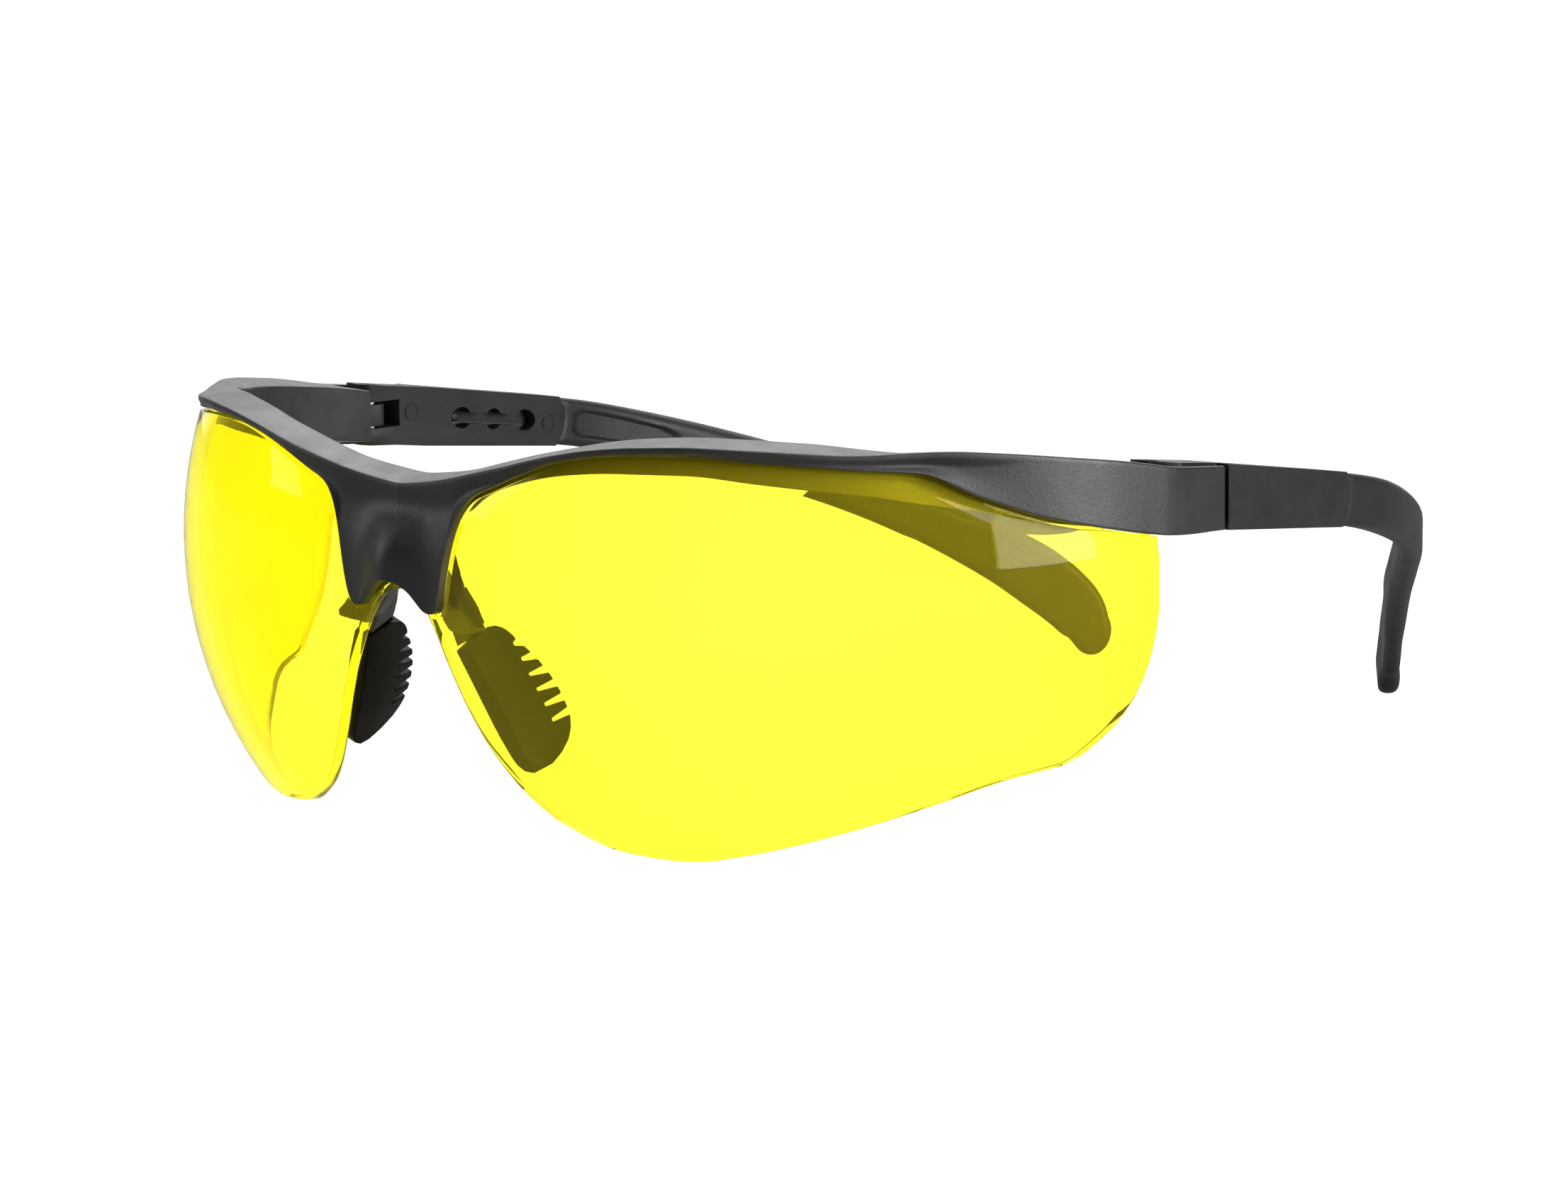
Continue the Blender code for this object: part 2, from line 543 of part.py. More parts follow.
def sleeve_mesh():
    slab = prism_mesh("slab", [on_sleeve(a, -15, up) for a, up in sleeve_profile()], SLEEVE_SIDE * 30)
    mask = prism_mesh("mask", [Vector((x, y, 20)) for x, y in sleeve_plan()], Vector((0, 0, 40)))
    body = boolean(slab, "INTERSECT", [mask])
    heights = (TONGUE_LOW - FORK_GAP, TONGUE_HIGH + FORK_GAP)
    spans = ((SLEEVE_IN0 - 8, SLEEVE_OUT0), (BLOCK_Y - 5, WINDOW_Y), heights)
    window = box_mesh("window", Vector([sum(s) / 2 for s in spans]), Matrix.Identity(3),
                      [s[1] - s[0] for s in spans])
    cavity_length = SLEEVE_LENGTH + 3 - CAVITY_START
    cavity = box_mesh("cavity", on_sleeve(CAVITY_START + cavity_length / 2, 0, 0),
                      (SLEEVE_AXIS, SLEEVE_SIDE, SLEEVE_UP),
                      (cavity_length, BLADE_W + 2 * CAVITY_GAP, BLADE_H + 2 * CAVITY_GAP))
    bore = pin_bore(PIN_R + 0.2, 30, 50)
    sink = pin_bore(HEAD_R + 0.25, PIN_HIGH - HEAD_T - 0.2, 50)
    return boolean(body, "DIFFERENCE", [window, cavity, bore, sink, lobe_slot()])


def lobe_slot():
    """The detent slot in the inner wall: three round lobes joined by a waist."""
    outline = []
    for side in (1, -1):
        centres = [LOBE_START + i * LOBE_PITCH for i in range(3)]
        if side < 0:
            centres.reverse()
        for centre in centres:
            first = 180 if side > 0 else 0
            edge = math.degrees(math.asin(WAIST_H / LOBE_R))
            begin = first if centre == centres[0] else first - edge
            end = first - 180 if centre == centres[-1] else first - 180 + edge
            steps = 7
            for k in range(steps):
                if centre == centres[-1] and k == steps - 1:
                    continue
                a = math.radians(begin + (end - begin) * k / (steps - 1))
                outer = (centre - centres[1]) * math.cos(a) > 0.01
                outline.append((centre + (LOBE_END if outer else LOBE_R) * math.cos(a), LOBE_R * math.sin(a)))
    return prism_mesh("lobes", [on_sleeve(a, -6.0, up) for a, up in outline], SLEEVE_SIDE * 6.0)


# ---------------------------------------------------------------- temple arm
def rounded_section(width, height, softness):
    """A rounded rectangle about the origin, as (side, up) pairs; its upright sides carry extra points."""
    radius = softness * min(width, height)
    flat = height / 2 - radius
    points = []
    for cx, cy, first in ((1, 1, 0), (-1, 1, 90), (-1, -1, 180), (1, -1, 270)):
        for k in range(3):
            a = math.radians(first + 45 * k)
            points.append((cx * (width / 2 - radius) + radius * math.cos(a), cy * flat + radius * math.sin(a)))
        if first in (90, 270):
            points += [(cx * width / 2, cy * flat * share) for share in (0.5, 0.0, -0.5)]
    return points


def arm_spine():
    """Centre line from the shoulder to the tip, evenly sampled from a Catmull-Rom curve."""
    start = on_sleeve(SLEEVE_LENGTH - SLEEVE_NOSE + 0.4, 0, 0)
    knots = [start] + [Vector(p) for p in ARM_PATH]
    before = start - SLEEVE_AXIS * 12
    after = knots[-1] + (knots[-1] - knots[-2])
    padded = [before] + knots + [after]
    points = []
    for i in range(1, len(padded) - 2):
        p0, p1, p2, p3 = padded[i - 1:i + 3]
        steps = 4 if i == 1 else 3
        for k in range(steps):
            t = k / steps
            points.append(0.5 * (2 * p1 + (p2 - p0) * t + (2 * p0 - 5 * p1 + 4 * p2 - p3) * t * t
                                 + (3 * p1 - p0 - 3 * p2 + p3) * t ** 3))
    points.append(knots[-1])
    return points


def arm_mesh():
    width_at = smooth_curve([(f, w) for f, w, h in ARM_SIZE])
    height_at = smooth_curve([(f, h) for f, w, h in ARM_SIZE])
    shoulder = SLEEVE_LENGTH - SLEEVE_NOSE + SEAT_GAP
    blade = rounded_section(BLADE_W, BLADE_H, softness=0.2)
    rings = [[on_sleeve(CAVITY_START + 0.5, s * 0.7, up * 0.8) for s, up in blade]]
    rings.append([on_sleeve(CAVITY_START + 1.0, s, up) for s, up in blade])
    rings.append([on_sleeve(shoulder + sleeve_nose(up), s, up) for s, up in blade])
    wide = rounded_section(width_at(0), height_at(0), softness=0.16)
    rings.append([on_sleeve(shoulder + max(sleeve_nose(up), 0.0), s * 0.97, up * 0.97) for s, up in wide])
    spine = arm_spine()
    lengths = [0.0]
    for a, b in zip(spine, spine[1:]):
        lengths.append(lengths[-1] + (b - a).length)
    total = lengths[-1]
    for i, point in enumerate(spine):
        if i == 0:
            continue
        ahead = spine[min(i + 1, len(spine) - 1)]
        tangent = (ahead - spine[i - 1]).normalized()
        side = tangent.cross(Vector((0, 0, 1))).normalized()
        up = side.cross(tangent).normalized()
        f = lengths[i] / total
        softness = 0.16 + 0.3 * min(f * 3, 1.0)
        section = rounded_section(width_at(f), height_at(f), softness=softness)
        rings.append([point + side * s + up * h for s, h in section])
        last = (point, tangent, side, up, section)
    point, tangent, side, up, section = last
    reach = height_at(1.0) / 2
    for a in (25, 50, 70):
        c, d = math.cos(math.radians(a)), math.sin(math.radians(a))
        flat = max(c, 0.0) ** 0.5
        rings.append([point + tangent * (reach * d) + side * (s * flat) + up * (h * c) for s, h in section])
    body = loft_mesh("arm", rings)
    bump_base = on_sleeve(LOBE_START, -BLADE_W / 2 + 0.3, 0.0)
    bump = rod_mesh("bump", bump_base, -SLEEVE_SIDE * 1.0, BUMP_R, sides=14)
    return boolean(body, "UNION", [bump])


# ---------------------------------------------------------------- nose pads and bracket
def on_pad(b, d, n=0.0):
    return PAD_ORIGIN + PAD_BACK * b + PAD_DOWN * d + PAD_NORMAL * n


def fin_reach(d):
    """Rear limit of the pad at a distance down from the first slot."""
    return 4.4 - 0.054 * (9.2 - d) ** 2


def pad_outline():
    """Straight front edge, round lower lobe, and fins cut into the rear edge."""
    outline = [(-7.6, -0.6), (-4.15, 12.7), (-3.7, 13.8), (-2.9, 14.7), (-1.7, 15.1), (-0.2, 14.7),
               (1.7, 13.5), (3.2, 12.1), (4.0, 10.8), (4.3, 9.7)]
    for i in reversed(range(PAD_SLOTS)):
        root_b, root_d = -1.3 + 0.5 * i, 0.1 + SLOT_PITCH * i
        mouth_d = root_d - 0.1 - 0.16 * i
        for edge in (1, -1):
            mouth = mouth_d + edge * 0.45
            tip = (fin_reach(mouth) - 0.1, mouth)
            root = (root_b, root_d + edge * 0.22)
            outline += [tip, root] if edge > 0 else [root, tip]
    outline += [(-1.0, -0.95), (-1.6, -1.6), (-2.3, -2.1), (-3.1, -2.4), (-4.2, -2.4)]
    return outline


def pad_mesh():
    base = [on_pad(b, d, -PAD_T / 2) for b, d in pad_outline()]
    slab = prism_mesh("pad", base, PAD_NORMAL * PAD_T)
    return boolean(slab, "DIFFERENCE", [paddle_box(0.3, 2.0)])


def paddle_box(clear, above):
    """The bracket's paddle inside the pad, grown by a clearance and carried up past the pad's top."""
    top, bottom = -1.5 - above, PADDLE_L - 1.5 + clear
    lean = Vector((0.26, 1.0)).normalized()
    down = (PAD_BACK * lean.x + PAD_DOWN * lean.y).normalized()
    across = down.cross(PAD_NORMAL).normalized()
    centre = on_pad(-5.0, -1.5) + down * ((top + bottom) / 2 + 1.5)
    return box_mesh("paddle", centre, (across, down, PAD_NORMAL),
                    (PADDLE_W + 2 * clear, bottom - top, PADDLE_T + 2 * clear))


def saddle_mesh():
    """The bracket's arched plate, which follows the back of the lens over the nose."""
    front = -LENS_T - SEAT_GAP - 0.05
    back = front - 1.7
    rings = []
    for u in two_sided(spread(0, SADDLE_END, 18)):
        heights = spread(saddle_low(abs(u)), saddle_top(abs(u)), 5)
        ring = [(front, z) for z in heights] + [(back, z) for z in reversed(heights)]
        rings.append([wrap(u, shell_radius(z, offset), z) for offset, z in ring])
    return loft_mesh("saddle", rings)


def bracket_mesh():
    """Saddle, two arms that drop in the planes of the pads, and the paddles inside the pads."""
    arm_outline = [(-8.0, -6.8), (-7.5, -3.6), (-7.3, -1.1), (-4.1, -3.0), (-4.4, -5.2), (-5.2, -7.6)]
    arm = prism_mesh("arm", [on_pad(b, d, -1.0) for b, d in arm_outline], PAD_NORMAL * 2.0)
    paddle = paddle_box(0.0, 1.4)
    return boolean(saddle_mesh(), "UNION", [arm, paddle, mirrored(arm), mirrored(paddle)])


# ---------------------------------------------------------------- assembly
def clear_scene():
    for item in list(bpy.data.objects):
        bpy.data.objects.remove(item)
    collection = bpy.data.collections.get(COLLECTION)
    if collection is None:
        collection = bpy.data.collections.new(COLLECTION)
        bpy.context.scene.collection.children.link(collection)


def add_temple(side, root):
    """One temple: sleeve and pin about the hinge, arm along the sleeve."""
    flip = (lambda mesh: mesh) if side == "left" else mirrored
    sign = 1 if side == "left" else -1
    pin_point = Vector((sign * PIN_X, PIN_Y, 40.0))
    fold = add_empty(f"{side}_temple_fold", pin_point, root)
    add_object(f"temple_sleeve_{side}", flip(sleeve_mesh()), BLACK_NYLON, fold, pin_point)
    add_object(f"hinge_pin_{side}", flip(hinge_pin_mesh()), PIN_STEEL, fold, pin_point)
    mouth = on_sleeve(SLEEVE_LENGTH, 0, 0)
    mouth.x *= sign
    slide = add_empty(f"{side}_arm_slide", mouth, fold)
    add_object(f"temple_arm_{side}", flip(arm_mesh()), BLACK_NYLON, slide, mouth)


def main():
    clear_scene()
    root = bpy.data.objects.new("glasses", None)
    bpy.data.collections[COLLECTION].objects.link(root)
    root["pivot"] = Vector((0, 0, 0))
    root.location = (0, -ORIGIN_Y * MM, 0)
    add_object("lens", lens_mesh(), YELLOW_LENS, root)
    add_object("frame_front", frame_mesh(), BLACK_NYLON, root)
    add_object("nose_bracket", bracket_mesh(), GLOSS_NYLON, root)
    add_object("nose_pad_left", pad_mesh(), BLACK_RUBBER, root)
    add_object("nose_pad_right", mirrored(pad_mesh()), BLACK_RUBBER, root)
    for side in ("left", "right"):
        add_temple(side, root)


main()
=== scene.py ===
"""Detailed look of the half-frame safety glasses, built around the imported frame.

Shapes are worked out in design millimetres: +X to the wearer's left, +Y towards the ears, +Z up,
z = 0 on the floor. place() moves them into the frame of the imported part, in metres.

The front follows the lens round the face. A point on it is given by u, radius and z: u is the distance
along the lens from its middle, negative on the wearer's right, radius is measured from the upright axis
that one half of the lens curves about, and z is the height. wrap() turns these into a point.
"""
import math

import bmesh
import bpy
from mathutils import Matrix, Vector


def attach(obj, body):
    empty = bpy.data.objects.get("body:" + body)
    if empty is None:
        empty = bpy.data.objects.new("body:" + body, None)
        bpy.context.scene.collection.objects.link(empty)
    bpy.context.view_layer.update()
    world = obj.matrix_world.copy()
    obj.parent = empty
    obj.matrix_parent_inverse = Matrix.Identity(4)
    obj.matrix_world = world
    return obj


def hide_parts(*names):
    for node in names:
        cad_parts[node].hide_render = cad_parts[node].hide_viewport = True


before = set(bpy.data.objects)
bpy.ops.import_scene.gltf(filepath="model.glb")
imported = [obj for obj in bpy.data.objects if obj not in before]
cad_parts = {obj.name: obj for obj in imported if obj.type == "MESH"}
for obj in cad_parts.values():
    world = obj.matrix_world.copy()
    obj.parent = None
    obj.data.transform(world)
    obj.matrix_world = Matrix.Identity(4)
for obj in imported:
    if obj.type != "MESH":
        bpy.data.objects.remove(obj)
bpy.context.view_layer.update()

MM = 0.001
ORIGIN_Y = 82.445

# ---------------------------------------------------------------- design sizes, as in the part
LENS_X, LENS_Y, LENS_Z = 16.13, 51.23, 30.84
LENS_R, LENS_RZ = 50.8, 52.27
LENS_T, FLANGE_T = 1.9, 0.95
SADDLE = 9.0
LENS_END = 105.8
FLARE = 6.8
FLARE_WAY = Vector((0.669, -0.743, 0.0))
FLARE_FROM, FLARE_FULL = 68, 112
FLARE_BACK, FLARE_GONE = 104.5, 114.5
SEAT_GAP = 0.3
EDGE_R = 0.45
STEP_UNDER, STEP_LIFT, STEP_MIN = 0.45, 0.3, 0.5
SEATED_TO, STEP_LIFTED, UNSEATED = 90, 96, 96.5
LENS_LOW = [(0, 30.3), (3, 29.5), (5.8, 26.0), (8.0, 21.5), (10.2, 16.6), (12.8, 11.7), (16.7, 6.8),
            (21, 3.7), (29.7, 0.7), (39.4, 0.0), (48.7, 1.2), (57.5, 3.0), (66, 5.0), (74.7, 7.3),
            (80, 8.8), (84.7, 9.8), (88.5, 10.3), (92.8, 10.9), (96.1, 12.5), (100.4, 15.4), (103.2, 18.8),
            (105, 23.2), (105.8, 27.6)]
BROW_TOP = [(0, 43.6), (6, 44.4), (12, 45.7), (18.7, 47.2), (24.6, 48.3), (30, 49.2), (35, 49.7),
            (42, 50.0), (49, 49.8), (56, 49.4), (62.6, 49.0), (68, 48.8), (74, 48.5), (82, 47.9),
            (90, 47.1), (96.5, 46.4), (102, 45.6), (106, 44.9), (111.7, 43.9), (116, 43.1)]
BROW_LOW = [(0, 31.7), (2, 31.4), (3.5, 30.4), (4.6, 29.0), (5.4, 28.1), (6.2, 27.9), (6.9, 28.2),
            (7.5, 29.4), (8.2, 32.5), (8.8, 35.5), (9.5, 38.0), (10.4, 40.1), (12, 42.0),
            (15.2, 43.4), (20.3, 45.4), (25, 46.9), (30, 47.7), (35, 48.0), (41, 48.0), (49, 47.5),
            (56, 47.0), (63.2, 46.4), (69.7, 45.9), (77.1, 43.0), (85.9, 40.3), (96.5, 38.3),
            (107, 36.7), (116, 35.7)]
REAR_LOW = [(0, 38.0), (5, 38.1), (8, 39.2), (11, 41.3), (16, 43.2), (25, 45.1), (32, 45.6),
            (41, 45.65), (50, 44.8), (56.5, 44.1), (60, 43.7), (64.4, 43.2), (69.7, 42.25), (74.1, 41.6),
            (81, 40.55), (87.2, 39.5), (92, 38.9), (97, 38.35), (102, 37.8), (106, 37.4), (116, 36.4)]
RIDGE_R = [(0, 50.9), (10, 50.2), (20, 49.7), (30, 49.3), (45, 48.9), (60, 48.7), (68, 49.0),
           (77, 49.7), (82.3, 50.1), (88, 50.6), (93.3, 51.0), (99, 51.4), (104.8, 52.3), (110, 55.0),
           (116, 58.4)]
INNER_R = [(60, 45.9), (88, 46.3), (94, 46.2), (100, 46.4), (104, 47.0), (108, 47.9), (116, 50.5)]
ROOF_T = 1.1
FRONT_PROUD = 0.5
BRIDGE_BULGE, BRIDGE_SPREAD = 2.8, 4.4
BRIDGE_FROM, BRIDGE_FULL = 44.5, 33.0
CREST_RISE = 0.9
CREST_FROM, CREST_GONE = 58, 76
CROWN_R = 0.7
COVE_DEPTH, COVE_MAX = 0.35, 5.0
FLAT_FROM, FLAT_FULL = 66, 84
REAR_WALL_T, REAR_WALL_H = 1.4, 3.0
TOP_FALL = 0.9
CHANNEL_END = 97.5
BLOCK_FROM, BLOCK_FULL, BLOCK_END = 58, 88, 116.0
CLOSING_FROM, CLOSED = 99, 107
LIP_INSET, FOOT_INSET = 3.0, 4.5
BLOCK_Y = 58.0
SKIN_Y = 68.75
SKIN_T = 1.6
PIN_X, PIN_Y = 65.15, 60.3
PIN_R, BORE_R = 0.75, 1.05
PIN_HIGH = 44.3
HEAD_R, HEAD_T = 1.15, 0.6
TONGUE_R = 1.9
TONGUE_LOW, TONGUE_HIGH = 39.5, 42.3
EAR_R = 2.0
FORK_GAP = 0.35
WINDOW_Y = 64.2
CUT_LOW, CUT_TALL = 20, 40
BORE_LOW, BORE_HIGH = 30, 50
SLEEVE_START = Vector((67.15, 69.5, 39.9))
SLEEVE_STOP = Vector((65.95, 95.1, 36.9))
SLEEVE_FRONT, SLEEVE_REAR = 69.75, SLEEVE_STOP.y + 2
FORK_END, HEEL_END = -13.0, -5.5
SLEEVE_IN0, SLEEVE_IN1 = 63.55, 63.2
SLEEVE_OUT0, SLEEVE_OUT1 = 69.85, 68.65
SLEEVE_H0, SLEEVE_H1 = 7.8, 6.7
SLEEVE_FLOOR = 37.15
SLEEVE_NOSE = 1.2
BLADE_W, BLADE_H = 2.6, 4.3
CAVITY_GAP = 0.3
CAVITY_START = 4.6
LOBE_START, LOBE_PITCH, LOBE_R, LOBE_END, WAIST_H = 6.6, 5.75, 1.45, 2.15, 0.75
BUMP_R, BUMP_H, BUMP_SUNK = 0.65, 1.4, 0.7
BLADE_THINNER = 0.8
MARK_R, MARK_CORE_R = 1.25, 0.95
MARKS = ((-3.1, 0.5), (22.7, -0.3))
ARM_PATH = [(64.4, 106.0, 34.8), (58.6, 120.0, 31.0), (52.0, 130.5, 27.3), (45.4, 138.8, 23.3),
            (39.2, 146.0, 18.9), (33.6, 152.8, 14.7), (29.0, 158.5, 10.0), (26.1, 161.9, 6.1),
            (24.9, 163.3, 3.5)]
ARM_SIZE = [(0.0, 5.0, 6.4), (0.2, 4.3, 6.3), (0.45, 3.4, 6.0), (0.66, 3.1, 6.2), (0.8, 2.9, 8.2),
            (0.88, 2.4, 9.0), (0.95, 2.4, 8.7), (1.0, 3.0, 6.9)]
PANEL_START, PANEL_STOP, PANEL_DEPTH = 2.6, 22, 0.45
PANEL_NOSE, PANEL_TAIL = 5.4, 17
NECK_END = 1.7
PAD_ORIGIN = Vector((9.6, 11.5, 23.4))
PAD_BACK = Vector((0.11, 0.994, 0.0)).normalized()
PAD_NORMAL = Vector((-0.904, 0.099, -0.417)).normalized()
PAD_DOWN = PAD_NORMAL.cross(PAD_BACK).normalized()
PAD_T = 3.0
PAD_SLOTS, SLOT_PITCH = 6, 1.92
FIN_REACH, FIN_CURVE, FIN_MIDDLE = 4.4, 0.054, 9.2
PADDLE_W, PADDLE_T, PADDLE_L = 2.6, 1.1, 11.0
SADDLE_END = 11.2
SADDLE_TOP = [(0, 37.4), (3, 37.4), (4.6, 37.2), (5.3, 36.3), (6.2, 34.1), (8.0, 30.4), (10.1, 27.7),
              (11.2, 26.7)]
SADDLE_LOW = [(0, 31.0), (2, 30.8), (3.6, 29.6), (4.8, 27.9), (6.9, 25.8), (8, 25.6), (11.2, 26.0)]


# ---------------------------------------------------------------- curves
def smooth_curve(points):
    """A monotone cubic through (position, value) points, as a function of position."""
    xs = [float(p[0]) for p in points]
    ys = [float(p[1]) for p in points]
    count = len(xs)
    steps = [xs[i + 1] - xs[i] for i in range(count - 1)]
    slopes = [(ys[i + 1] - ys[i]) / steps[i] for i in range(count - 1)]
    tangents = [slopes[0]] + [0.0] * (count - 2) + [slopes[-1]]
    for i in range(1, count - 1):
        if slopes[i - 1] * slopes[i] > 0:
            w1 = 2 * steps[i] + steps[i - 1]
            w2 = steps[i] + 2 * steps[i - 1]
            tangents[i] = (w1 + w2) / (w1 / slopes[i - 1] + w2 / slopes[i])

    def value(x):
        x = min(max(x, xs[0]), xs[-1])
        i = max(k for k in range(count - 1) if xs[k] <= x)
        h = steps[i]
        t = (x - xs[i]) / h
        return (ys[i] * (1 + 2 * t) * (1 - t) ** 2 + tangents[i] * h * t * (1 - t) ** 2
                + ys[i + 1] * t * t * (3 - 2 * t) + tangents[i + 1] * h * t * t * (t - 1))
    return value


def softened(curve, reach):
    """The same curve with its kinks averaged over a short reach."""
    weights = (0.1, 0.2, 0.4, 0.2, 0.1)
    return lambda x: sum(w * curve(abs(x + (i - 2) * reach / 2)) for i, w in enumerate(weights))


def smoothstep(low, high, x):
    t = min(max((x - low) / (high - low), 0.0), 1.0)
    return t * t * (3 - 2 * t)


def spread(start, stop, count):
    return [start + (stop - start) * i / (count - 1) for i in range(count)]


lens_low = smooth_curve(LENS_LOW)
brow_top = softened(smooth_curve(BROW_TOP), 2.0)
brow_low = softened(smooth_curve(BROW_LOW), 0.5)
rear_low = softened(smooth_curve(REAR_LOW), 2.0)
ridge_radius = smooth_curve(RIDGE_R)
inner_radius = smooth_curve(INNER_R)
saddle_top = smooth_curve(SADDLE_TOP)
saddle_low = smooth_curve(SADDLE_LOW)


def shell_radius(z, offset):
    """Radius at a height of the surface that stands offset outside the lens's front."""
    return (LENS_R + offset) * math.sqrt(1 - ((z - LENS_Z) / (LENS_RZ + offset)) ** 2)


def wrap(u, radius, z, lean=1.0):
    """The point at u, radius and z. The sides flare outwards by lean, and the nose is eased across."""
    side = 1 if u >= 0 else -1
    seam_angle = math.asin((SADDLE - LENS_X) / LENS_R)
    if abs(u) > SADDLE:
        along = abs(u)
        angle = seam_angle + (along - SADDLE) / LENS_R
        flare = lean * FLARE * smoothstep(FLARE_FROM, FLARE_FULL, along)
        flare *= 1 - smoothstep(FLARE_BACK, FLARE_GONE, along)
        point = Vector((LENS_X + radius * math.sin(angle), LENS_Y - radius * math.cos(angle), z))
        point += FLARE_WAY * flare
        return Vector((side * point.x, point.y, z))
    seam_x = LENS_X + radius * math.sin(seam_angle)
    x = seam_x * u / SADDLE
    soft_x = (x * x + seam_x * seam_x) / (2 * seam_x)
    return Vector((x, LENS_Y - math.sqrt(radius ** 2 - (soft_x - LENS_X) ** 2), z))


def rounded_loop(corners, segments=4):
    """A closed loop of (point, reach) corners with each corner eased by a parabola of that reach."""
    points = []
    count = len(corners)
    for i, (corner, reach) in enumerate(corners):
        before = corners[i - 1][0] - corner
        after = corners[(i + 1) % count][0] - corner
        if reach <= 0:
            points.append(corner)
            continue
        start = corner + before.normalized() * min(reach, before.length * 0.45)
        stop = corner + after.normalized() * min(reach, after.length * 0.45)
        for k in range(segments + 1):
            t = k / segments
            points.append(start * (1 - t) ** 2 + corner * 2 * t * (1 - t) + stop * t * t)
    return points


# ---------------------------------------------------------------- meshes
def finish_mesh(name, bm):
    bmesh.ops.recalc_face_normals(bm, faces=bm.faces)
    mesh = bpy.data.meshes.new(name)
    bm.to_mesh(mesh)
    bm.free()
    return mesh


def loft_mesh(name, rings):
    """A solid skinned over rings that have the same number of points, closed at both ends."""
    bm = bmesh.new()
    loops = [[bm.verts.new(p) for p in ring] for ring in rings]
    for a, b in zip(loops, loops[1:]):
        for i in range(len(a)):
            j = (i + 1) % len(a)
            bm.faces.new((a[i], a[j], b[j], b[i]))
    bm.faces.new(loops[0][::-1])
    bm.faces.new(loops[-1])
    return finish_mesh(name, bm)


def prism_mesh(name, outline, along):
    """A flat outline swept along a vector."""
    bm = bmesh.new()
    face = bm.faces.new([bm.verts.new(p) for p in outline])
    swept = bmesh.ops.extrude_face_region(bm, geom=[face])["geom"]
    bmesh.ops.translate(bm, verts=[v for v in swept if isinstance(v, bmesh.types.BMVert)], vec=along)
    return finish_mesh(name, bm)


def box_mesh(name, centre, axes, sizes):
    """A box of the given sizes along three axes of its own."""
    bm = bmesh.new()
    bmesh.ops.create_cube(bm, size=1.0)
    turn = Matrix([axes[0] * sizes[0], axes[1] * sizes[1], axes[2] * sizes[2]]).transposed().to_4x4()
    bmesh.ops.transform(bm, matrix=Matrix.Translation(centre) @ turn, verts=bm.verts)
    return finish_mesh(name, bm)


def rod_mesh(name, base, along, radius, sides=48):
    bm = bmesh.new()
    bmesh.ops.create_cone(bm, cap_ends=True, segments=sides, radius1=radius, radius2=radius,
                          depth=along.length)
    turn = along.to_track_quat("Z", "Y").to_matrix().to_4x4()
    bmesh.ops.transform(bm, matrix=Matrix.Translation(base + along / 2) @ turn, verts=bm.verts)
    return finish_mesh(name, bm)


def evaluated(mesh, add_modifiers):
    """The mesh after modifiers that add_modifiers puts on it."""
    holder = bpy.data.objects.new("holder", mesh)
    bpy.context.scene.collection.objects.link(holder)
    helpers = add_modifiers(holder) or []
    graph = bpy.context.evaluated_depsgraph_get()
    result = bpy.data.meshes.new_from_object(holder.evaluated_get(graph))
    for item in helpers + [holder]:
        bpy.data.objects.remove(item)
    return result


def boolean(body, operation, tools):
    """The body after a union, cut or intersection with each tool, with its shortest edges removed."""
    def add(target):
        helpers = []
        for tool in tools:
            helper = bpy.data.objects.new("tool", tool)
            bpy.context.scene.collection.objects.link(helper)
            helpers.append(helper)
            modifier = target.modifiers.new("cut", "BOOLEAN")
            modifier.operation = operation
            modifier.solver = "EXACT"
            modifier.object = helper
        return helpers
    result = evaluated(body, add)
    bm = bmesh.new()
    bm.from_mesh(result)
    bmesh.ops.remove_doubles(bm, verts=bm.verts, dist=0.002)
    bmesh.ops.dissolve_degenerate(bm, edges=bm.edges, dist=0.002)
    bm.to_mesh(result)
    bm.free()
    return result


def bevelled(mesh, width, segments=3, angle=35):
    """The mesh with its sharp edges rounded to a width."""
    def add(target):
        modifier = target.modifiers.new("edges", "BEVEL")
        modifier.width = width
        modifier.segments = segments
        modifier.limit_method = "ANGLE"
        modifier.angle_limit = math.radians(angle)
        modifier.use_clamp_overlap = True
        modifier.miter_outer = "MITER_ARC"
    return evaluated(mesh, add)


def moulded(mesh, voxel, rounds):
    """The mesh remeshed to even small faces and smoothed, which eases every edge as a mould does."""
    def add(target):
        remesh = target.modifiers.new("even", "REMESH")
        remesh.mode = "VOXEL"
        remesh.voxel_size = voxel
        ease = target.modifiers.new("ease", "SMOOTH")
        ease.factor = 0.5
        ease.iterations = rounds
    return evaluated(mesh, add)


def mirrored(mesh):
    """A copy for the wearer's other side."""
    copy = mesh.copy()
    bm = bmesh.new()
    bm.from_mesh(copy)
    bmesh.ops.scale(bm, vec=(-1, 1, 1), verts=bm.verts)
    bmesh.ops.reverse_faces(bm, faces=bm.faces)
    bm.to_mesh(copy)
    bm.free()
    return copy


def place(name, mesh, material, node, body, sharp=None):
    """A finished piece in the part's frame, riding on its body and standing for its node."""
    mesh.transform(Matrix.Translation((0, -ORIGIN_Y, 0)))
    mesh.transform(Matrix.Scale(MM, 4))
    mesh.shade_smooth()
    if sharp:
        mesh.set_sharp_from_angle(angle=math.radians(sharp))
    mesh.materials.clear()
    mesh.materials.append(material)
    item = bpy.data.objects.new(name, mesh)
    bpy.context.scene.collection.objects.link(item)
    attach(item, body)
    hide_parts(node)
    return item


# ---------------------------------------------------------------- materials
CLOUD_SPAN = (0.3, 0.7)
GRAIN_DEPTH = 0.00003


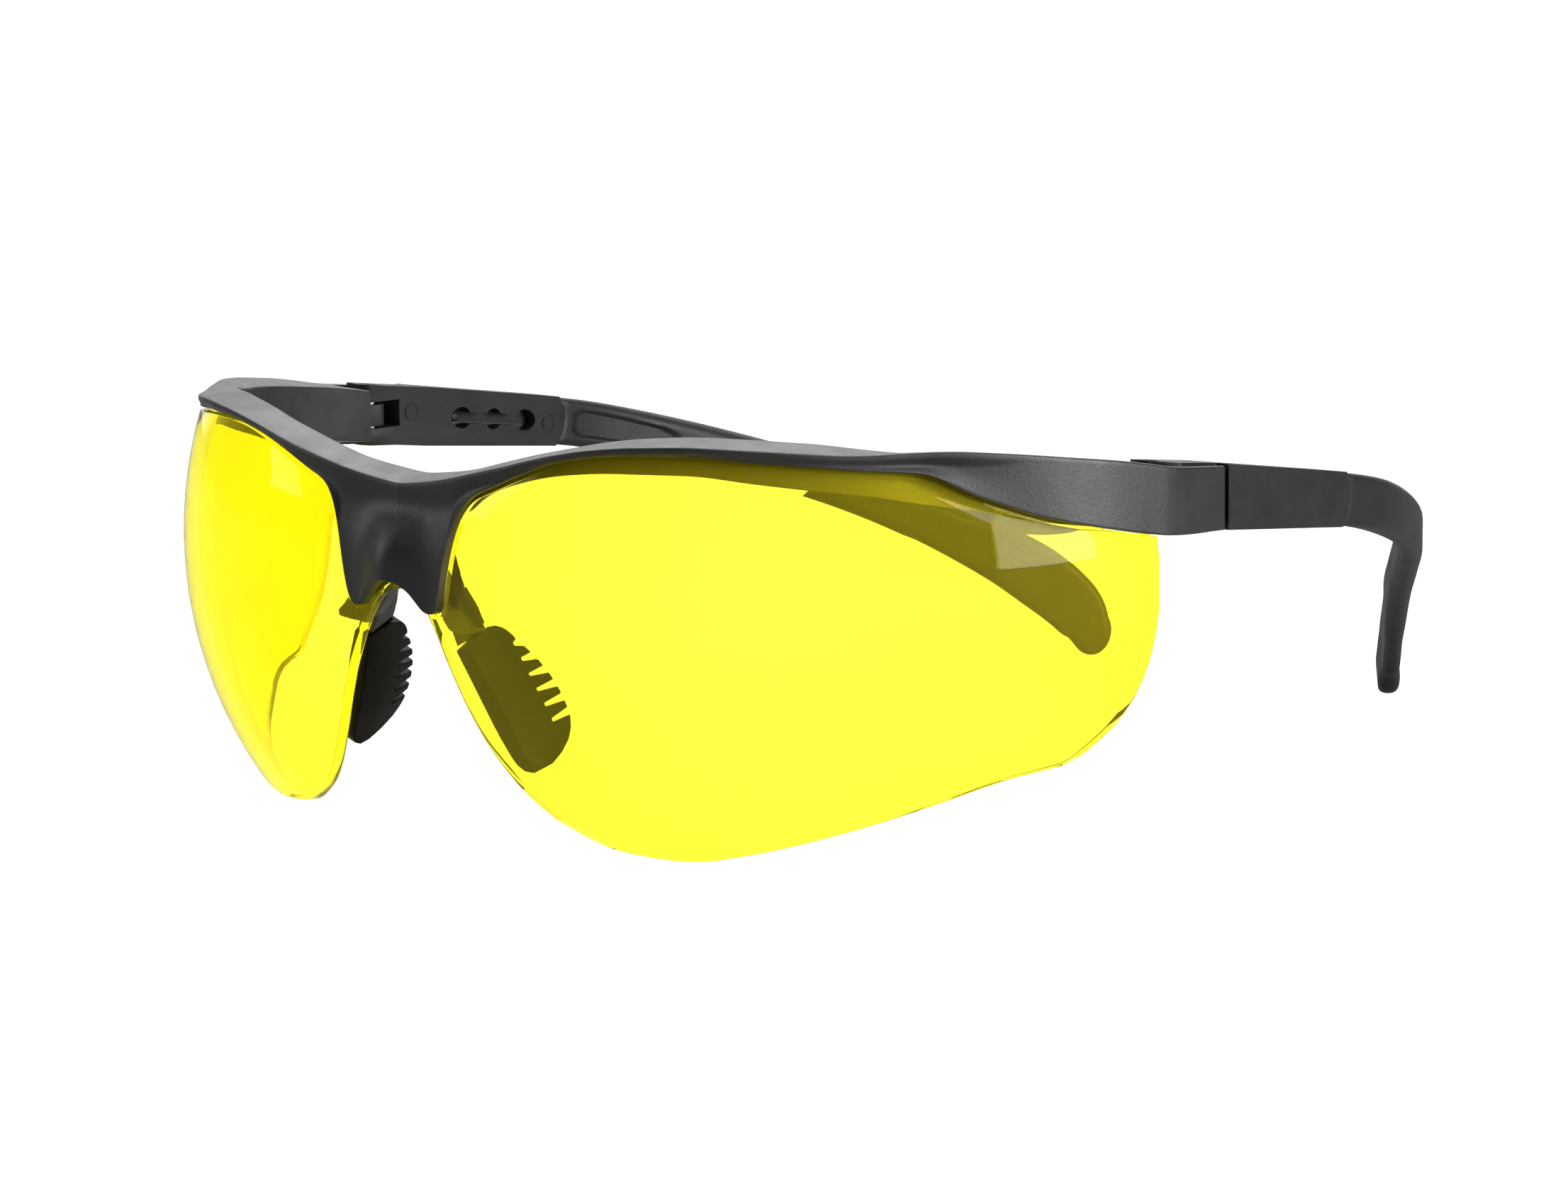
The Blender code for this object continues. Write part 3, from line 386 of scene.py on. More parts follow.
def new_material(name):
    material = bpy.data.materials.new(name)
    material.use_nodes = True
    tree = material.node_tree
    return material, tree.nodes, tree.links, tree.nodes["Principled BSDF"]


def noise(nodes, links, scale, detail=2.0, roughness=0.5):
    where = nodes.new("ShaderNodeTexCoord")
    texture = nodes.new("ShaderNodeTexNoise")
    texture.inputs["Scale"].default_value = scale
    texture.inputs["Detail"].default_value = detail
    texture.inputs["Roughness"].default_value = roughness
    links.new(where.outputs["Object"], texture.inputs["Vector"])
    return texture.outputs["Fac"]


def math_node(nodes, links, operation, first, second=None, clamp=False):
    node = nodes.new("ShaderNodeMath")
    node.operation = operation
    node.use_clamp = clamp
    for socket, value in zip(node.inputs, (first, second)):
        if isinstance(value, (int, float)):
            socket.default_value = value
        elif value is not None:
            links.new(value, socket)
    return node.outputs[0]


def ramp(nodes, links, source, stops):
    node = nodes.new("ShaderNodeValToRGB")
    for element, (position, colour) in zip(node.color_ramp.elements, stops):
        element.position = position
        element.color = colour
    links.new(source, node.inputs["Fac"])
    return node.outputs["Color"]


def map_range(nodes, links, source, spans, easing="LINEAR"):
    """The source mapped from one span to another: spans holds start, stop, low and high."""
    node = nodes.new("ShaderNodeMapRange")
    node.interpolation_type = easing
    for key, value in zip(("From Min", "From Max", "To Min", "To Max"), spans):
        node.inputs[key].default_value = value
    links.new(source, node.inputs["Value"])
    return node.outputs["Result"]


def moulded_plastic(name, dark, light, rough, grain_scale, grain, level):
    """Black moulding compound: fine grain in the surface, and faint clouds in colour and gloss."""
    material, nodes, links, shader = new_material(name)
    clouds = noise(nodes, links, 260.0, 3.0)
    fine = noise(nodes, links, grain_scale, 2.0, 0.6)
    links.new(ramp(nodes, links, clouds, ((0.3, dark), (0.75, light))), shader.inputs["Base Color"])
    links.new(map_range(nodes, links, clouds, (*CLOUD_SPAN, *rough)), shader.inputs["Roughness"])
    bump = nodes.new("ShaderNodeBump")
    bump.inputs["Strength"].default_value = grain
    bump.inputs["Distance"].default_value = GRAIN_DEPTH
    links.new(fine, bump.inputs["Height"])
    links.new(bump.outputs["Normal"], shader.inputs["Normal"])
    shader.inputs["Specular IOR Level"].default_value = level
    return material


def lens_material(name, square_on, slanting, clear, ior):
    """Clear yellow polycarbonate, deeper in colour where it is seen at a slant, with a very faint haze."""
    material, nodes, links, shader = new_material(name)
    clouds = noise(nodes, links, 55.0, 2.0)
    slant = nodes.new("ShaderNodeLayerWeight")
    slant.inputs["Blend"].default_value = 0.5
    depth = math_node(nodes, links, "ADD", slant.outputs["Facing"],
                      math_node(nodes, links, "MULTIPLY", clouds, 0.04))
    links.new(ramp(nodes, links, depth, ((0.02, square_on), (0.9, slanting))), shader.inputs["Base Color"])
    haze = noise(nodes, links, 900.0, 3.0)
    links.new(map_range(nodes, links, haze, (*CLOUD_SPAN, 0.0, 0.012)), shader.inputs["Roughness"])
    shader.inputs["Transmission Weight"].default_value = clear
    shader.inputs["IOR"].default_value = ior
    return material


def steel_material():
    material, nodes, links, shader = new_material("turned_steel")
    lines = noise(nodes, links, 3000.0, 2.0)
    tone = ramp(nodes, links, lines, ((0.3, (0.30, 0.30, 0.31, 1)), (0.7, (0.42, 0.42, 0.43, 1))))
    links.new(tone, shader.inputs["Base Color"])
    links.new(map_range(nodes, links, lines, (*CLOUD_SPAN, 0.25, 0.4)), shader.inputs["Roughness"])
    shader.inputs["Metallic"].default_value = 1.0
    return material


NYLON = moulded_plastic("black_nylon_grain", (0.005, 0.005, 0.0055, 1), (0.009, 0.009, 0.0095, 1),
                        (0.44, 0.54), 2600.0, 0.8, 0.55)
ARM_NYLON = moulded_plastic("black_nylon_temple", (0.004, 0.004, 0.0045, 1), (0.008, 0.008, 0.0085, 1),
                            (0.48, 0.58), 2600.0, 0.8, 0.34)
GLOSS = moulded_plastic("black_nylon_gloss", (0.006, 0.006, 0.006, 1), (0.009, 0.009, 0.009, 1),
                        (0.12, 0.2), 1500.0, 0.08, 0.5)
RUBBER = moulded_plastic("black_rubber_matte", (0.004, 0.004, 0.004, 1), (0.007, 0.007, 0.007, 1),
                         (0.35, 0.5), 2400.0, 0.3, 0.04)
LENS = lens_material("yellow_polycarbonate", (0.97, 0.85, 0.06, 1), (0.97, 0.91, 0.008, 1), 0.968, 1.15)
# The rim copy is a darker, less clear yellow for the lens's lower edge and ends: painted shade standing in
# for the dark outline that refraction draws along a clear lens's edge.
LENS_RIM_PAINTED_SHADE = lens_material("yellow_polycarbonate_rim_painted_shade", (0.62, 0.52, 0.004, 1), (0.40, 0.33, 0.0, 1),
                         0.85, 1.3)
STEEL = steel_material()


# ---------------------------------------------------------------- lens
def step_height(u):
    """Height of the step from the thick lens to its thin flange, just below the brow."""
    brow = min(brow_low(abs(u) + shift) for shift in (-STEP_UNDER, 0.0, STEP_UNDER))
    lift = STEP_LIFT * smoothstep(SEATED_TO, STEP_LIFTED, abs(u))
    return max(brow - STEP_UNDER + lift, lens_low(abs(u)) + STEP_MIN)


def lens_top(u):
    """Height of the flange's top: in the channel, and under the brow once the channel ends."""
    seated = brow_top(abs(u)) - ROOF_T - SEAT_GAP
    under = brow_low(abs(u)) - 0.03
    return seated + (under - seated) * smoothstep(SEATED_TO, UNSEATED, abs(u))


def lens_ring(u):
    low, step, top = lens_low(abs(u)), step_height(u), lens_top(u)
    flange = -LENS_T + FLANGE_T
    lip = min(0.3, 0.4 * (top - step))
    ring = []
    for k in range(7):
        a = math.radians(90 * k / 6)
        ring.append((-EDGE_R + EDGE_R * math.sin(a), low + EDGE_R - EDGE_R * math.cos(a)))
    ring += [(0.0, z) for z in spread(low + EDGE_R, step - 0.12, 18)[1:]]
    ring += [(-0.04, step - 0.03), (-0.12, step)]
    ring += [(flange, z) for z in spread(step, top - lip, 8)]
    ring += [(flange - lip * 0.3, top - lip * 0.3), (flange - lip, top)]
    ring += [(-LENS_T, z) for z in spread(top, low + EDGE_R, 26)]
    for k in range(1, 7):
        a = math.radians(90 * k / 6)
        ring.append((-LENS_T + EDGE_R - EDGE_R * math.cos(a), low + EDGE_R - EDGE_R * math.sin(a)))
    return [wrap(u, shell_radius(z, offset), z) for offset, z in ring]


def two_sided(stations):
    return [-u for u in reversed(stations) if u > 0] + stations


def lens_mesh():
    """The lens, with the faces of its lower edge and ends in the second material slot, whose darker yellow
    is painted shade for the dark outline that refraction draws along a clear lens's edge.
    """
    stations = spread(0, 12, 61) + spread(12.35, 30, 51) + spread(30.7, 88, 80)
    stations += spread(88.5, 102, 40) + spread(102.2, LENS_END, 24)
    rings = [lens_ring(u) for u in two_sided(stations)]
    mesh = loft_mesh("lens", rings)
    size = len(rings[0])
    for face in mesh.polygons:
        spots = [i % size for i in face.vertices]
        rim = all(spot < 5 or spot > size - 5 for spot in spots) or len(spots) > 4
        face.material_index = 1 if rim else 0
    return mesh


# ---------------------------------------------------------------- frame front
def ridge_drop(u):
    """How far below the brow's crest its ridge lies."""
    fade = 1 - smoothstep(CREST_FROM, CREST_GONE, u)
    return min(CREST_RISE, 0.35 * (brow_top(u) - brow_low(u))) * fade


def front_radius(u, z):
    """Radius of the brow's front face: lens surface, bridge bulge, cove, ridge and flat side wall."""
    u = abs(u)
    below = brow_top(u) - ridge_drop(u) - z
    height = brow_top(u) - brow_low(u)
    bulge = BRIDGE_BULGE * math.exp(-(u / BRIDGE_SPREAD) ** 2) * smoothstep(BRIDGE_FROM, BRIDGE_FULL, z)
    plain = shell_radius(z, FRONT_PROUD) + bulge
    ridge = ridge_radius(u)
    cove_end = min(0.55 * height + 0.4, COVE_MAX)
    near_ridge = 1 - smoothstep(CROWN_R, cove_end, below)
    flat_wall = smoothstep(FLAT_FROM, FLAT_FULL, u)
    dip = math.exp(-((below - 0.8 * cove_end) / (0.45 * cove_end)) ** 2)
    cove = COVE_DEPTH * (1 - flat_wall) * dip
    share = max(near_ridge, flat_wall)
    return plain + (ridge - plain) * share - cove


def frame_ring(u):
    """Outer loop of the frame section, then the points that line the lens channel."""
    v = abs(u)
    top, low = brow_top(v), brow_low(v)
    rear = min(rear_low(v), top - REAR_WALL_H)
    ceiling = top - ROOF_T
    front_in = -LENS_T + FLANGE_T + SEAT_GAP
    rear_in = -LENS_T - SEAT_GAP
    wall = rear_in - REAR_WALL_T
    block = smoothstep(BLOCK_FROM, BLOCK_FULL, v)
    fall = 0.2 + TOP_FALL * smoothstep(56, 74, v)

    def back_radius(z):
        plain = shell_radius(z, wall)
        return plain + (inner_radius(v) - plain) * block

    ridge_z = top - ridge_drop(v)
    ridge = front_radius(u, ridge_z - CROWN_R)
    crown = min(CROWN_R, 0.35 * (ridge_z - low))
    away = smoothstep(CLOSING_FROM, CLOSED, v)
    lip = shell_radius(low, front_in)
    lip += (ridge - LIP_INSET - lip) * away
    front = [(lip, low + 0.12, 0.0), (lip + 0.12, low, 0.0), (front_radius(u, low + 0.1), low, 0.35)]
    front += [(front_radius(u, z), z, 0.0) for z in spread(low + 0.4, ridge_z - crown, 22)]
    front += [(ridge, ridge_z, crown)]
    back = [(back_radius(top - fall) + 0.5, top - fall + 0.1, 0.5)]
    back += [(back_radius(top - fall), top - fall, 0.4)]
    back += [(back_radius(z), z, 0.0) for z in spread(top - fall - 0.8, rear + 0.5, 8)]
    back += [(back_radius(rear), rear, 0.4)]
    foot = shell_radius(rear, rear_in)
    foot += (ridge - FOOT_INSET - foot) * away
    corners = [(wrap(u, r, z), e) for r, z, e in front]
    corners += [(wrap(u, r, z, 1 - block), e) for r, z, e in back]
    corners += [(wrap(u, r, z), 0.0) for r, z in ((foot - 0.12, rear), (foot, rear + 0.12))]
    loop = rounded_loop(corners, 5)
    lining = [(shell_radius(z, rear_in), z) for z in spread(rear, ceiling, 7)[1:]]
    lining += [(shell_radius(z, front_in), z) for z in spread(ceiling, low, 9)[:-1]]
    return loop, [wrap(u, radius, z) for radius, z in lining]


def frame_body():
    """The brow: open below along the lens channel, solid in the end pieces, cut square at the hinges."""
    half = spread(0, 12, 61) + spread(12.3, 30, 50) + spread(30.6, 96.8, 110)
    half += [CHANNEL_END] + spread(98, BLOCK_END, 40)
    stations = two_sided(half)
    bm = bmesh.new()
    loops = []
    for u in stations:
        outline, lining = frame_ring(u)
        outer = len(outline)
        ring = outline if abs(u) > CHANNEL_END else outline + lining
        loops.append([bm.verts.new(p) for p in ring])
    for (u0, a), (u1, b) in zip(zip(stations, loops), zip(stations[1:], loops[1:])):
        solid = max(abs(u0), abs(u1)) > CHANNEL_END
        count = outer if solid else len(a)
        for i in range(count):
            j = (i + 1) % count
            bm.faces.new((a[i], a[j], b[j], b[i]))
    for u, loop in zip(stations, loops):
        if abs(u) == CHANNEL_END:
            bm.faces.new([loop[0]] + loop[outer - 1:])
    bm.faces.new(loops[0][::-1])
    bm.faces.new(loops[-1])
    bmesh.ops.recalc_face_normals(bm, faces=bm.faces)
    cut = bmesh.ops.bisect_plane(bm, geom=bm.verts[:] + bm.edges[:] + bm.faces[:],
                                 plane_co=(0, SKIN_Y, 0), plane_no=(0, 1, 0), clear_outer=True)
    rim = [e for e in cut["geom_cut"] if isinstance(e, bmesh.types.BMEdge)]
    bmesh.ops.holes_fill(bm, edges=rim)
    return finish_mesh("frame", bm)


def skin_line(offset, count):
    """Plan points along the inside of the thin skin that covers the hinge."""
    points = [wrap(u, ridge_radius(u) - SKIN_T - offset, 0) for u in spread(106.8, 113.6, count)]
    return [(p.x, p.y) for p in points]


def hinge_pocket():
    line = skin_line(0.0, 14)
    plan = [(50, BLOCK_Y), (line[0][0] - 1.2, BLOCK_Y), (line[0][0] - 0.3, BLOCK_Y + 0.4)] + line[1:]
    plan += [(line[-1][0] + 0.2, SKIN_Y + 5), (50, SKIN_Y + 5)]
    return prism_mesh("pocket", [Vector((x, y, CUT_LOW)) for x, y in plan], Vector((0, 0, CUT_TALL)))


def pin_bore(radius, low, high):
    return rod_mesh("bore", Vector((PIN_X, PIN_Y, low)), Vector((0, 0, high - low)), radius)


def tongue_mesh():
    arc = [math.radians(a) for a in range(0, 181, 6)]
    ring = [Vector((PIN_X + TONGUE_R * math.cos(a), PIN_Y + TONGUE_R * math.sin(a), TONGUE_LOW))
            for a in arc]
    root = BLOCK_Y - 1.5
    ring += [Vector((PIN_X - TONGUE_R, root, TONGUE_LOW)), Vector((PIN_X + TONGUE_R, root, TONGUE_LOW))]
    tongue = prism_mesh("tongue", ring, Vector((0, 0, TONGUE_HIGH - TONGUE_LOW)))
    return bevelled(boolean(tongue, "DIFFERENCE", [pin_bore(BORE_R, BORE_LOW, BORE_HIGH)]), 0.15, 2)


def frame_mesh():
    """The brow with both hinge pockets cut and both tongues added."""
    tongue = tongue_mesh()
    body = boolean(frame_body(), "DIFFERENCE", [hinge_pocket(), mirrored(hinge_pocket())])
    return boolean(body, "UNION", [tongue, mirrored(tongue)])


# ---------------------------------------------------------------- temple sleeve
SLEEVE_AXIS = (SLEEVE_STOP - SLEEVE_START).normalized()
SLEEVE_LENGTH = (SLEEVE_STOP - SLEEVE_START).length
SLEEVE_SIDE = SLEEVE_AXIS.cross(Vector((0, 0, 1))).normalized()
SLEEVE_UP = SLEEVE_SIDE.cross(SLEEVE_AXIS).normalized()


def on_sleeve(along, side, up):
    return SLEEVE_START + SLEEVE_AXIS * along + SLEEVE_SIDE * side + SLEEVE_UP * up


def sleeve_nose(up):
    """How far the sleeve's rounded rear end reaches at a height."""
    return SLEEVE_NOSE * (1 - (up / (SLEEVE_H1 / 2)) ** 2)


def sleeve_plan():
    arc = [math.radians(a) for a in range(217, 326, 6)]
    plan = [(PIN_X + EAR_R * math.cos(a), PIN_Y + EAR_R * math.sin(a)) for a in arc]
    plan += [(x, y) for x, y in skin_line(0.35, 14) if PIN_Y < y < SLEEVE_FRONT - 0.5]
    plan += [(plan[-1][0], SLEEVE_FRONT), (SLEEVE_OUT0, SLEEVE_FRONT)]
    plan += [(SLEEVE_OUT1, SLEEVE_REAR), (SLEEVE_IN1, SLEEVE_REAR)]
    return plan


def sleeve_profile():
    half0, half1 = SLEEVE_H0 / 2, SLEEVE_H1 / 2
    length = SLEEVE_LENGTH - SLEEVE_NOSE
    fork = SLEEVE_FLOOR - (SLEEVE_START + SLEEVE_AXIS * FORK_END).z
    profile = [(FORK_END, fork), (FORK_END, half0 - 0.1), (0.0, half0), (length, half1)]
    profile += [(length + sleeve_nose(up), up) for up in spread(half1, -half1, 25)[1:-1]]
    profile += [(length, -half1), (0.0, -half0), (HEEL_END, -half0)]
    return profile


def lobe_outline():
    """The detent slot: three round lobes joined by narrow waists, with longer outer ends."""
    outline = []
    steps = 15
    edge = math.degrees(math.asin(WAIST_H / LOBE_R))
    for first in (180, 0):
        centres = [LOBE_START + i * LOBE_PITCH for i in range(3)]
        if first == 0:
            centres.reverse()
        for centre in centres:
            begin = first if centre == centres[0] else first - edge
            end = first - 180 if centre == centres[-1] else first - 180 + edge
            for k in range(steps):
                if centre == centres[-1] and k == steps - 1:
                    continue
                a = math.radians(begin + (end - begin) * k / (steps - 1))
                outer = (centre - centres[1]) * math.cos(a) > 0.01
                reach = LOBE_END if outer else LOBE_R
                outline.append((centre + reach * math.cos(a), LOBE_R * math.sin(a)))
    return outline


def inner_face(along):
    """Side coordinate of the sleeve's inner face at a place along the axis."""
    middle = on_sleeve(along, 0, 0)
    share = (middle.y - PIN_Y) / (SLEEVE_REAR - PIN_Y)
    return SLEEVE_IN0 + (SLEEVE_IN1 - SLEEVE_IN0) * share - middle.x


def ejector_mark(along, up):
    """A shallow ring left by a round ejector pin on the inner face."""
    base = on_sleeve(along, inner_face(along) - 0.5, up)
    outer = rod_mesh("mark", base, SLEEVE_SIDE * 0.62, MARK_R)
    inner = rod_mesh("core", base - SLEEVE_SIDE * 0.1, SLEEVE_SIDE * 0.9, MARK_CORE_R)
    return boolean(outer, "DIFFERENCE", [inner])


def sleeve_mesh():
    """The sleeve's side profile cut to its plan, with the fork, blade cavity, slot and pin bore."""
    slab = prism_mesh("slab", [on_sleeve(a, -15, up) for a, up in sleeve_profile()], SLEEVE_SIDE * 30)
    mask = prism_mesh("mask", [Vector((x, y, CUT_LOW)) for x, y in sleeve_plan()], Vector((0, 0, CUT_TALL)))
    body = boolean(slab, "INTERSECT", [mask])
    heights = (TONGUE_LOW - FORK_GAP, TONGUE_HIGH + FORK_GAP)
    spans = ((SLEEVE_IN0 - 8, SLEEVE_OUT0), (BLOCK_Y - 5, WINDOW_Y), heights)
    window = box_mesh("window", Vector([sum(s) / 2 for s in spans]), Matrix.Identity(3),
                      [s[1] - s[0] for s in spans])
    cavity_length = SLEEVE_LENGTH + 3 - CAVITY_START
    cavity = box_mesh("cavity", on_sleeve(CAVITY_START + cavity_length / 2, 0, 0),
                      (SLEEVE_AXIS, SLEEVE_SIDE, SLEEVE_UP),
                      (cavity_length, BLADE_W + 2 * CAVITY_GAP, BLADE_H + 2 * CAVITY_GAP))
    lobes = prism_mesh("lobes", [on_sleeve(a, -6.0, up) for a, up in lobe_outline()], SLEEVE_SIDE * 6.0)
    bore = pin_bore(PIN_R + 0.2, BORE_LOW, BORE_HIGH)
    sink = pin_bore(HEAD_R + 0.25, PIN_HIGH - HEAD_T - 0.2, BORE_HIGH)
    body = bevelled(boolean(body, "DIFFERENCE", [window, cavity, bore, sink, lobes]), 0.28, 3)
    return boolean(body, "DIFFERENCE", [ejector_mark(along, up) for along, up in MARKS])


# ---------------------------------------------------------------- temple arm
def rounded_section(width, height, softness, per_corner=6, per_side=13):
    """Points of a rectangle with round corners, close together on its tall sides."""
    radius = softness * min(width, height)
    flat = height / 2 - radius
    points = []
    for cx, cy, first in ((1, 1, 0), (-1, 1, 90), (-1, -1, 180), (1, -1, 270)):
        for k in range(per_corner + 1):
            a = math.radians(first + 90 * k / per_corner)
            x = cx * (width / 2 - radius) + radius * math.cos(a)
            points.append((x, cy * flat + radius * math.sin(a)))
        if first in (90, 270):
            steps = spread(1.0, -1.0, per_side + 2)[1:-1]
            points += [(cx * width / 2, cy * flat * share) for share in steps]
    return points


def arm_spine(per_span):
    """Points along a smooth curve through the sleeve's end and the knots of the arm."""
    start = on_sleeve(SLEEVE_LENGTH - SLEEVE_NOSE + 0.4, 0, 0)
    knots = [start] + [Vector(p) for p in ARM_PATH]
    chain = [start - SLEEVE_AXIS * 12] + knots + [knots[-1] * 2 - knots[-2]]
    points = []
    for i in range(1, len(chain) - 2):
        p0, p1, p2, p3 = chain[i - 1:i + 3]
        for k in range(per_span):
            t = k / per_span
            points.append(0.5 * (2 * p1 + (p2 - p0) * t + (2 * p0 - 5 * p1 + 4 * p2 - p3) * t * t
                                 + (3 * p1 - p0 - 3 * p2 + p3) * t ** 3))
    points.append(knots[-1])
    return points


def panel_depth(distance, up, height):
    """How deep the plain recessed panel on the inner face is, at a distance behind the sleeve."""
    if distance < PANEL_START or distance > PANEL_STOP:
        return 0.0
    half = (0.28 - 0.003 * distance) * height
    ends = smoothstep(2.9, 3.6, distance) * (1 - smoothstep(20.0, 21.6, distance))
    if distance < PANEL_NOSE:
        half *= math.sqrt(max(0.0, 1 - ((PANEL_NOSE - distance) / 2.6) ** 2))
    if distance > PANEL_TAIL:
        half *= math.sqrt(max(0.0, 1 - ((distance - PANEL_TAIL) / 5.0) ** 2))
    return PANEL_DEPTH * ends * (1 - smoothstep(half - 0.2, half + 0.25, abs(up)))


def arm_mesh():
    """Blade, neck at the sleeve's rounded end, swept arm with its recessed panel, and round tip."""
    width_at = smooth_curve([(f, w) for f, w, h in ARM_SIZE])
    height_at = smooth_curve([(f, h) for f, w, h in ARM_SIZE])
    shoulder = SLEEVE_LENGTH - SLEEVE_NOSE + SEAT_GAP
    blade = rounded_section(BLADE_W - BLADE_THINNER, BLADE_H, 0.2)
    rings = [[on_sleeve(CAVITY_START + 0.5, s * 0.7, up * 0.8) for s, up in blade]]
    rings.append([on_sleeve(CAVITY_START + 1.0, s, up) for s, up in blade])
    rings.append([on_sleeve(shoulder + sleeve_nose(up) - 0.02, s, up) for s, up in blade])
    wide = rounded_section(width_at(0), height_at(0), 0.16)
    for inset, back in ((0.9, 0.0), (0.96, 0.05), (1.0, 0.22)):
        rings.append([on_sleeve(shoulder + max(sleeve_nose(up), 0.0) + back, s * inset, up * inset)
                      for s, up in wide])
    spine = arm_spine(24)
    lengths = [0.0]
    for a, b in zip(spine, spine[1:]):
        lengths.append(lengths[-1] + (b - a).length)
    total = lengths[-1]
    for i, point in enumerate(spine):
        if lengths[i] < NECK_END:
            continue
        ahead = spine[min(i + 1, len(spine) - 1)]
        tangent = (ahead - spine[i - 1]).normalized()
        side = tangent.cross(Vector((0, 0, 1))).normalized()
        up = side.cross(tangent).normalized()
        f = lengths[i] / total
        softness = 0.16 + 0.3 * min(f * 3, 1.0)
        section = rounded_section(width_at(f), height_at(f), softness)
        ring = []
        for s, h in section:
            dip = panel_depth(lengths[i], h, height_at(f)) if s < 0 else 0.0
            ring.append(point + side * (s + dip) + up * h)
        rings.append(ring)
    reach = height_at(1.0) / 2
    for a in range(6, 85, 6):
        c, d = math.cos(math.radians(a)), math.sin(math.radians(a))
        rings.append([point + tangent * (reach * d) + side * (s * c ** 0.5) + up * (h * c)
                      for s, h in section])
    body = loft_mesh("arm", rings)
    bump_base = on_sleeve(LOBE_START, -BLADE_W / 2 + BUMP_SUNK, 0)
    bump = rod_mesh("bump", bump_base, -SLEEVE_SIDE * BUMP_H, BUMP_R)
    return boolean(body, "UNION", [bevelled(bump, 0.3, 4)])


# ---------------------------------------------------------------- nose pads and bracket
def on_pad(b, d, n=0.0):
    """A point of the left pad: b backwards, d downwards and n out of its face."""
    return PAD_ORIGIN + PAD_BACK * b + PAD_DOWN * d + PAD_NORMAL * n


def fin_reach(d):
    return FIN_REACH - FIN_CURVE * (FIN_MIDDLE - d) ** 2


def pad_outline():
    """The pad's straight front and round lower lobe, then its slots from the lowest to the highest."""
    outline = [(-7.6, -0.6), (-4.15, 12.7), (-3.7, 13.8), (-2.9, 14.7), (-1.7, 15.1), (-0.2, 14.7),
               (1.7, 13.5), (3.2, 12.1), (4.0, 10.8), (4.3, 9.7)]
    for i in reversed(range(PAD_SLOTS)):
        root_b, root_d = -1.3 + 0.5 * i, 0.1 + SLOT_PITCH * i
        mouth_d = root_d - 0.1 - 0.16 * i
        for edge in (1, -1):
            mouth = mouth_d + edge * 0.45
            tip = (fin_reach(mouth) - 0.1, mouth)
            root = (root_b, root_d + edge * 0.22)
            outline += [tip, root] if edge > 0 else [root, tip]
    outline += [(-1.0, -0.95), (-1.6, -1.6), (-2.3, -2.1), (-3.1, -2.4), (-4.2, -2.4)]
    return outline


def paddle_box(clear, above):
    """The bracket's paddle inside the pad, larger by clear all round and longer by above at its top."""
    top, bottom = -1.5 - above, PADDLE_L - 1.5 + clear
    down = (PAD_BACK * 0.26 + PAD_DOWN).normalized()
    across = down.cross(PAD_NORMAL).normalized()
    centre = on_pad(-5.0, -1.5) + down * ((top + bottom) / 2 + 1.5)
    return box_mesh("paddle", centre, (across, down, PAD_NORMAL),
                    (PADDLE_W + 2 * clear, bottom - top, PADDLE_T + 2 * clear))


def crowned(mesh):
    """The pad thinned towards its rim, so that both faces are slightly domed."""
    for vertex in mesh.vertices:
        away = vertex.co - PAD_ORIGIN
        b, d, n = (away.dot(axis) for axis in (PAD_BACK, PAD_DOWN, PAD_NORMAL))
        keep = 1 - 0.45 * min(((b + 2.2) / 6.6) ** 2, 1.0) - 0.3 * smoothstep(8.5, 15.2, d)
        vertex.co += PAD_NORMAL * (n * (keep - 1))
    return mesh


def pad_mesh():
    base = [on_pad(b, d, -PAD_T / 2) for b, d in pad_outline()]
    slab = prism_mesh("pad", base, PAD_NORMAL * PAD_T)
    slab = boolean(slab, "DIFFERENCE", [paddle_box(0.3, 2.0)])
    return crowned(moulded(slab, 0.11, 7))


def saddle_mesh():
    """The band behind the lens over the nose."""
    front = -LENS_T - SEAT_GAP - 0.05
    back = front - 1.7
    rings = []
    for u in two_sided(spread(0, SADDLE_END, 40)):
        heights = spread(saddle_low(abs(u)), saddle_top(abs(u)), 14)
        ring = [(front, z) for z in heights] + [(back, z) for z in reversed(heights)]
        rings.append([wrap(u, shell_radius(z, offset), z) for offset, z in ring])
    return loft_mesh("saddle", rings)


def bracket_mesh():
    arm_outline = [(-8.0, -6.8), (-7.5, -3.6), (-7.3, -1.1), (-4.1, -3.0), (-4.4, -5.2), (-5.2, -7.6)]
    arm = prism_mesh("arm", [on_pad(b, d, -1.0) for b, d in arm_outline], PAD_NORMAL * 2.0)
    paddle = paddle_box(0.0, 1.4)
    whole = boolean(saddle_mesh(), "UNION", [arm, paddle, mirrored(arm), mirrored(paddle)])
    return moulded(whole, 0.13, 4)


